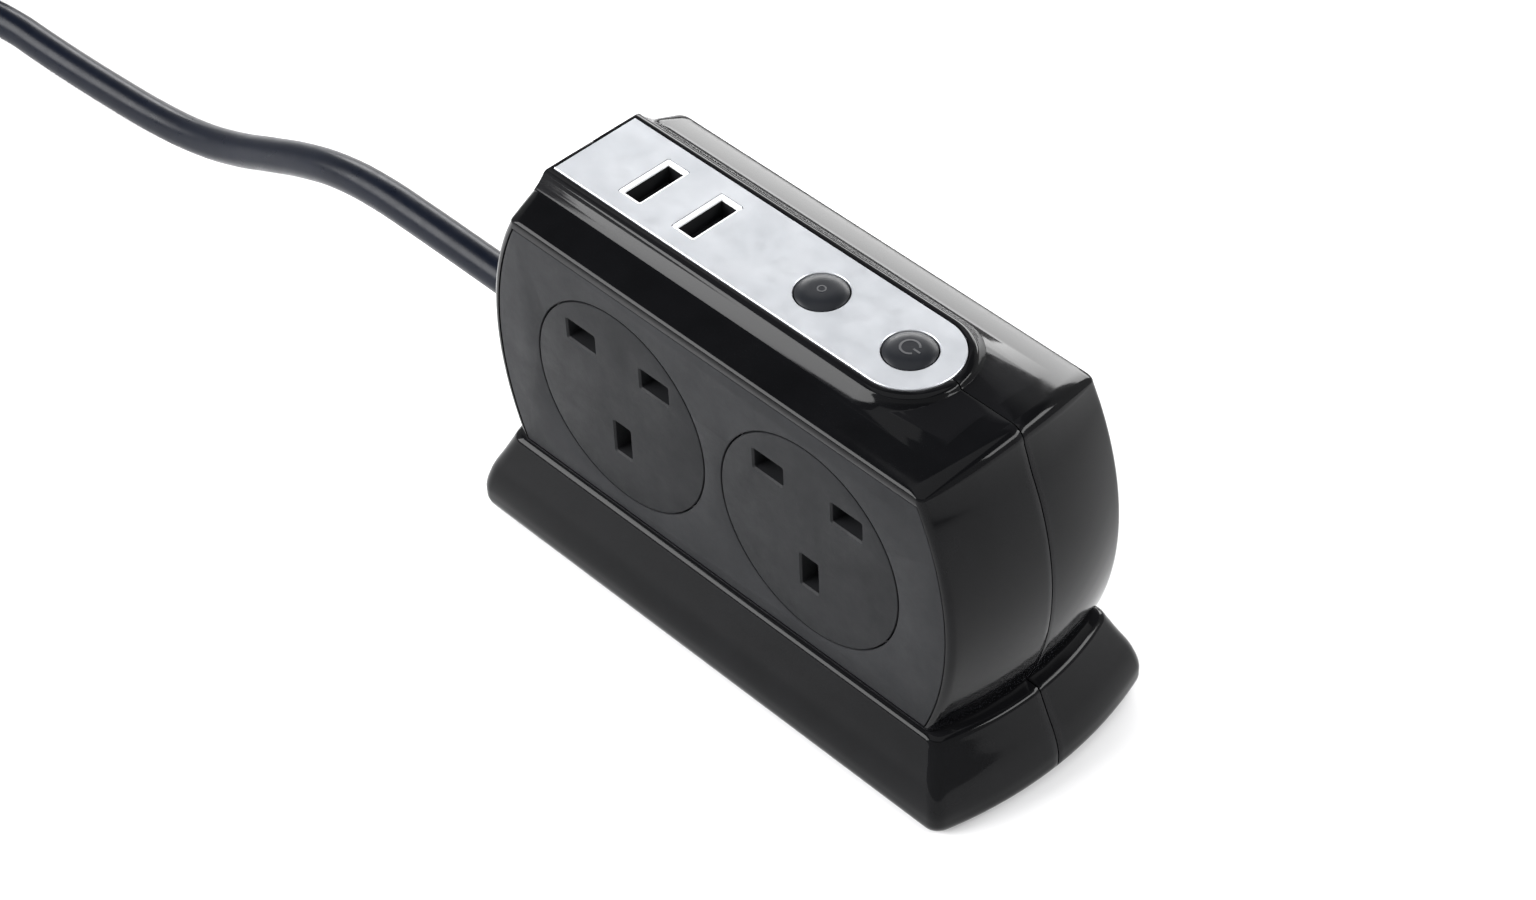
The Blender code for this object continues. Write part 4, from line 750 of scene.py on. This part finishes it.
def makeUsb():
    top = plate["top"]
    floor = top - usb["depth"]
    low = floor + fit
    halfX, halfY = (size / 2 for size in usb["bezel"])
    mouthX, mouthY = (size / 2 for size in usb["mouth"])
    for end, x in zip(("Far", "Near"), usb["places"]):
        # a shield round the mouth, a wider rim in the plate, and a bevel down into the mouth
        rings = addMouth(x, mouthX, mouthY, ((-0.4, 0.6, low), (-0.4, 0.6, top - 1.6)))
        rings += addMouth(x, halfX, halfY, ((0, 0.5, top - 1.6), (0, 0.5, top - 0.1), (0.08, 0.45, top)))
        rings += addMouth(x, mouthX, mouthY, ((-0.06, 0.3, top - 0.48), (0, 0.3, top - 0.6), (0, 0.3, low)))
        made = loftPiece("usbSocket" + end, "polishedRim", rings, closed=True)
        place(made, "usb_socket_" + end.lower(), slot="plated_steel")
        # painted shade: a thin dark sheet over the mouth's polished walls stands in for the shade inside the mouth
        rings = addMouth(x, mouthX, mouthY, ((0.16, 0.25, low + 0.1), (0.01, 0.25, low + 0.1), (0.01, 0.25, top - 1),
                                             (0.16, 0.25, top - 1)))
        mouthShade = loftPiece("usbMouthShade" + end, "darkPlastic", rings, closed=True)
        place(mouthShade, body="strip", slot="dark_plastic")
        thick, broad = usb["tongue"]
        start = x - mouthX + fit
        tip = top - usb["tongueDrop"]
        mesh = bmesh.new()
        addBox(mesh, (start, -broad / 2, low), (start + thick, broad / 2, tip))
        tongue = fromBmesh(mesh, "usbTongue" + end, "darkPlastic")
        tool = bmesh.new()
        addBox(tool, (start - 0.01, -mouthY + fit, low), (x + mouthX - fit, mouthY - fit, floor + 2.4))
        shapeWith(tongue, tool, "UNION")
        softenEdges(tongue, 0.15)
        place(tongue, "usb_tongue_" + end.lower(), slot="dark_plastic")
        mesh = bmesh.new()
        for y in (-3.5, -1.0, 1.0, 3.5):
            addBox(mesh, (start + thick, y - 0.55, floor + 2.5), (start + thick + 0.12, y + 0.55, tip - 0.7))
            addBox(mesh, (start + thick, y - 0.4, tip - 0.72), (start + thick + 0.3, y + 0.4, tip - 1.6))
        contacts = fromBmesh(mesh, "usbContacts" + end, "brass")
        place(contacts, body="strip", slot="brass")


def domeHeight(radius):
    share = (radius / rounds["capRadius"])**2
    return plate["top"] - 0.15 + (rounds["dome"] + 0.15) * (1 - share**2.2)


def capProfile():
    # flange, straight side, soft shoulder and a shallow dome
    radius = rounds["capRadius"]
    lip = radius + rounds["lip"]
    flange = crown(lip) - casing["wall"] - fit
    profile = [(lip, flange - 1.2), (lip, flange), (radius, flange), (radius, plate["top"] - 0.5)]
    for i in range(17):
        out = radius * math.cos(math.pi / 2 * i / 16) if i < 16 else 0.05
        profile.append((out, domeHeight(out)))
    return profile, flange


def addMark(mesh, centre, inner, outer, start, end, lift=0.05, steps=60):
    # a thin printed arc that follows the dome
    corners = [(radius, domeHeight(radius) + rise)
               for radius, rise in ((inner, -0.15), (outer, -0.15), (outer, lift), (inner, lift))]
    rings = []
    for i in range(steps + 1):
        angle = math.radians(start + (end - start) * i / steps)
        rings.append([(centre + radius * math.cos(angle), radius * math.sin(angle), height)
                      for radius, height in corners])
    loft(mesh, rings)


def makeRounds():
    profile, flange = capProfile()
    lens = turned("surgeLens", "smokedDome", profile, (rounds["lensPlace"], 0, 0), sides=96)
    place(lens, "surge_lens", slot="smoked_dome")
    stem = [(1.6, flange - 3.4), (1.6, flange - 1.2)]
    button = turned("powerButton", "smokedDome", stem + profile, (rounds["buttonPlace"], 0, 0), sides=96)
    place(button, "power_button", slot="smoked_dome")
    mesh = bmesh.new()
    middle = rounds["buttonPlace"]
    addMark(mesh, middle, 1.75, 2.2, 35, 325)
    addBox(mesh, (middle + 0.9, -0.22, plate["top"] + 0.4), (middle + 2.7, 0.22, plate["top"] + 0.92))
    symbol = fromBmesh(mesh, "powerSymbol", "printedGrey")
    place(symbol, body="button", slot="smoked_dome")
    mesh = bmesh.new()
    addMark(mesh, rounds["lensPlace"], 0.7, 1.0, 0, 359.9)
    dot = fromBmesh(mesh, "lampMark", "printedGrey")
    place(dot, body="strip", slot="smoked_dome")


makePlate()
makeUsb()
makeRounds()
print("top made")


# feet, tie and plug
def makeFeet():
    number = 0
    for y in (-feet["place"][1], feet["place"][1]):
        for x in (-feet["place"][0], feet["place"][0]):
            number += 1
            radius = feet["radius"]
            top = casing["floor"] + feet["sunk"] - fit
            profile = ((radius - 1.6, 0.25), (radius - 1.3, 0.0), (radius - 0.5, 0.0), (radius - 0.15, 0.12),
                       (radius, 0.45), (radius, top))
            made = turned(f"rubberFoot{number}", "footRubber", profile, (x, y, 0), sides=64)
            place(made, f"rubber_foot_{number}", slot="foot_rubber")


tie = dict(width=12.0, thickness=0.8, gap=0.3)


def makeTie():
    # a woven strap round the front run of the hank
    half = cord["diameter"] + tie["gap"]
    x, y = cord["hankCentre"]
    y -= cord["foldRadius"]
    z = cord["lowLayer"] + cord["diameter"] / 2
    rings = []
    for across in (-tie["width"] / 2, -tie["width"] / 2 + 0.3, tie["width"] / 2 - 0.3, tie["width"] / 2):
        outside = half + tie["thickness"] - (0.25 if abs(across) == tie["width"] / 2 else 0)
        rings.append([(x + across, y + side, z + up) for side, up in roundedRect(outside, outside, 4.4, 10)])
    for across in (tie["width"] / 2, -tie["width"] / 2):
        rings.append([(x + across, y + side, z + up) for side, up in roundedRect(half, half, 3.6, 10)])
    made = loftPiece("hankTie", "tieFabric", rings, closed=True)
    return place(made, "hank_tie", slot="dark_plastic")


makeFeet()
hankTie = makeTie()

plug = dict(edge=(-502.4, -6.1), size=(51.0, 50.0, 21.5), lineInset=15.0, entryHeight=11.0, reliefLength=19.0,
            flatPin=(4.0, 6.35, 17.7), earthPin=(8.0, 4.0, 22.7), sleeve=9.5, fuse=(3.15, 25.4), corner=9.0,
            pocketDepth=10.5, pinRoot=7.0)


def blockRing(low, high, half, corner, height):
    centre = (low + high) / 2
    return [(centre + x, y, height) for x, y in roundedRect((high - low) / 2, half, corner, 12)]


def makePlugBody(pins, pocket):
    long, wide, tall = plug["size"]
    outline = smoothPoints(((7.0, 0.0), (4.6, 0.6), (3.0, 2.4), (1.9, 5.0), (1.2, 8.0), (0.4, 12.0), (0.0, 16.0),
                            (0.0, 19.5), (0.2, 20.4), (0.6, 21.0), (1.4, 21.5)), 3)
    rings = [blockRing(max(0, draw), long - max(0, draw), wide / 2 - max(0, draw), plug["corner"], height)
             for draw, height in outline]
    body = loftPiece("plugBody", "plugPlastic", rings)
    tool = bmesh.new()
    start, end, half = pocket
    addBox(tool, (start, -half - fit, tall - plug["pocketDepth"]), (end, half + fit, tall + 1))
    for name, x, y, (thick, broad, out) in pins:
        addBox(tool, (x - thick / 2 - 0.15, y - broad / 2 - 0.15, tall - plug["pinRoot"] - fit),
               (x + thick / 2 + 0.15, y + broad / 2 + 0.15, tall + 1))
    shapeWith(body, tool)
    tool = bmesh.new()
    for side in (-1, 1):  # finger grips moulded in both long sides
        for k in range(5):
            addRod(tool, (17 + 4 * k, side * (wide / 2 - 0.35), 9), 1.1, 9, sides=24)
    shapeWith(body, tool)
    softenEdges(body, 0.2, angle=40)
    return body


def makePin(name, x, y, size):
    thick, broad, out = size
    tall = plug["size"][2]
    tip = tall + out
    sections = ((0, tall - plug["pinRoot"]), (0, tip - 1.8), (0.25, tip - 1.0), (0.7, tip - 0.3), (1.1, tip))
    rings = [[(x + px, y + py, z) for px, py in roundedRect(thick / 2 - draw, broad / 2 - draw, 0.45)]
             for draw, z in sections]
    return loftPiece("plugPin" + name, "brass", rings)


def makeSleeve(name, x, y, size):
    # the insulated root of a live or neutral pin
    thick, broad, out = size
    tall = plug["size"][2]
    sections = ((0.04, tall - 2), (0.04, tall + plug["sleeve"]), (0.0, tall + plug["sleeve"] + 0.3))
    rings = [[(x + px, y + py, z) for px, py in roundedRect(thick / 2 + grow, broad / 2 + grow, 0.45)]
             for grow, z in sections]
    return loftPiece("pinSleeve" + name, "darkPlastic", rings)


def makePlug():
    # built with the cord's edge at the origin and the body towards +X, then turned round to its place
    tall = plug["size"][2]
    lineX = plug["lineInset"]
    earthX = lineX + outlet["lineToEarth"]
    radius, fuseLength = plug["fuse"]
    pocketEnd = earthX - plug["earthPin"][0] / 2 - 2.2
    pocketStart = pocketEnd - fuseLength - 2.2
    half = radius + 1.4
    pins = (("Live", lineX, outlet["lineToLine"] / 2, plug["flatPin"]),
            ("Neutral", lineX, -outlet["lineToLine"] / 2, plug["flatPin"]), ("Earth", earthX, 0, plug["earthPin"]))
    made = [(makePlugBody(pins, (pocketStart, pocketEnd, half)), "plug_body", "dark_plastic")]
    for pin in pins:
        made.append((makePin(*pin), f"plug_{pin[0].lower()}_pin", "brass"))
        if pin[0] != "Earth":
            made.append((makeSleeve(*pin), None, "dark_plastic"))
    fuseX = (pocketStart + pocketEnd) / 2
    fuseZ = tall - plug["pocketDepth"] + fit + radius
    sections = ((0.0, fuseZ - 1.0), (0.0, tall - 0.3), (0.2, tall - 0.06), (0.45, tall))
    rings = [blockRing(pocketStart + fit + draw, pocketEnd - fit - draw, half - draw, 0.6, z)
             for draw, z in sections]
    carrier = loftPiece("fuseCarrier", "plugPlastic", rings)
    tool = bmesh.new()
    addRod(tool, (fuseX, 0, fuseZ), radius + fit, fuseLength + 4, "X", 48)
    addBox(tool, (pocketStart - 1, -2.5, tall - 0.9), (pocketStart + 1.4, 2.5, tall + 1))  # slot to prise it out
    shapeWith(carrier, tool)
    made.append((carrier, "plug_fuse_carrier", "dark_plastic"))
    middle = fuseLength / 2
    tube = ((radius - 0.25, 5.8 - middle), (radius - 0.15, 6 - middle), (radius - 0.15, middle - 6),
            (radius - 0.25, middle - 5.8))
    made.append((turned("plugFuse", "glazedWhite", tube, (fuseX, 0, fuseZ), "X", 48), "plug_fuse", "fuse_ceramic"))
    mesh = bmesh.new()
    for side in (-1, 1):
        cap = ((radius - 0.3, 0), (radius, 0.3), (radius, 6.0), (radius - 0.3, 6.3))
        addTurned(mesh, cap, (fuseX + side * middle, 0, fuseZ), "-X" if side > 0 else "X", 48)
    made.append((fromBmesh(mesh, "plugFuseCaps", "brightSteel"), None, "plated_steel"))
    profile = reliefProfile(6.8, entry["tipRadius"], plug["reliefLength"], 3, 4.4, 5.0)
    made.append((turned("plugRelief", "mouldedRubber", profile, (-fit, 0, plug["entryHeight"]), "-X", 64),
                 "plug_strain_relief", "cord_rubber"))
    seat = Matrix.Translation((*plug["edge"], 0)) @ Matrix.Rotation(math.pi, 4, "Z")
    parts = []
    for piece, node, slot in made:
        piece.data.transform(seat)
        if node:
            parts.append(place(piece, node, slot=slot, sharp=45))
        else:
            parts.append(place(piece, body="strip", slot=slot))
    return parts


plugParts = makePlug()
print("plug made")

# nodes that keep their own shape get their finish here
for name, node in frame["nodes"].items():
    if not node.hide_render and name in keptFinish:
        node.data.materials.clear()
        node.data.materials.append(finishes[keptFinish[name]])


# floor and light
studio = dict(lowGlow=0.75, highGlow=0.12, dimFrom=33, dimTo=42, floorTone=(0.90, 0.90, 0.905))


def makeFloor():
    mesh = bmesh.new()
    bmesh.ops.create_grid(mesh, x_segments=1, y_segments=1, size=4)
    data = bpy.data.meshes.new("floor")
    mesh.to_mesh(data)
    mesh.free()
    made, tree, shader, where = startMaterial("paleFloor")
    tone = studio["floorTone"]
    tint = blendColours(tree, addNoise(tree, where, 3, 2), tone, tuple(value * 0.995 for value in tone))
    tree.links.new(tint, shader.inputs["Base Color"])
    shader.inputs["Roughness"].default_value = 0.8
    shader.inputs["Specular IOR Level"].default_value = 0.2
    floor = newObject("floor", data)
    data.materials.append(made)


def makeSky():
    # a bright band round the horizon and a darker ceiling, so gloss shows its shape
    world = bpy.data.worlds.new("studio")
    bpy.context.scene.world = world
    world.use_nodes = True
    tree = world.node_tree
    back = tree.nodes["Background"]
    where = tree.nodes.new("ShaderNodeTexCoord")
    split = tree.nodes.new("ShaderNodeSeparateXYZ")
    tree.links.new(where.outputs["Generated"], split.inputs["Vector"])
    ramp = tree.nodes.new("ShaderNodeMapRange")
    ramp.interpolation_type = "SMOOTHSTEP"
    ramp.inputs["From Min"].default_value = math.sin(math.radians(studio["dimFrom"]))
    ramp.inputs["From Max"].default_value = math.sin(math.radians(studio["dimTo"]))
    ramp.inputs["To Min"].default_value = studio["lowGlow"]
    ramp.inputs["To Max"].default_value = studio["highGlow"]
    tree.links.new(split.outputs["Z"], ramp.inputs["Value"])
    tree.links.new(ramp.outputs["Result"], back.inputs["Strength"])
    back.inputs["Color"].default_value = (1.0, 1.0, 1.0, 1.0)


lamps = (  # azimuth is seen from above, elevation from the table, distance and size are in metres
    dict(name="overheadSoftbox", azimuth=35, elevation=78, distance=1.6, size=(1.7, 1.7), glow=1.2),
    dict(name="leftSoftbox", azimuth=-38, elevation=28, distance=1.5, size=(1.3, 0.78), glow=14.0),
    dict(name="backSoftbox", azimuth=-146, elevation=18, distance=1.5, size=(1.7, 0.42), glow=11.5),
    dict(name="rightStrip", azimuth=128, elevation=33, distance=1.5, size=(1.2, 0.34), glow=14.0),
)


def makeLamps():
    for lamp in lamps:
        data = bpy.data.lights.new(lamp["name"], "AREA")
        data.shape = "RECTANGLE"
        data.size, data.size_y = lamp["size"]
        data.energy = lamp["glow"] * math.pi * data.size * data.size_y
        made = bpy.data.objects.new(lamp["name"], data)
        bpy.context.scene.collection.objects.link(made)
        azimuth, elevation = math.radians(lamp["azimuth"]), math.radians(lamp["elevation"])
        away = Vector((math.sin(azimuth) * math.cos(elevation), -math.cos(azimuth) * math.cos(elevation),
                       math.sin(elevation)))
        made.location = Vector((0, 0, 0.04)) + away * lamp["distance"]
        made.rotation_euler = away.to_track_quat("Z", "Y").to_euler()


makeFloor()
makeSky()
makeLamps()
bpy.context.scene.view_settings.view_transform = "Standard"
print("stage set")
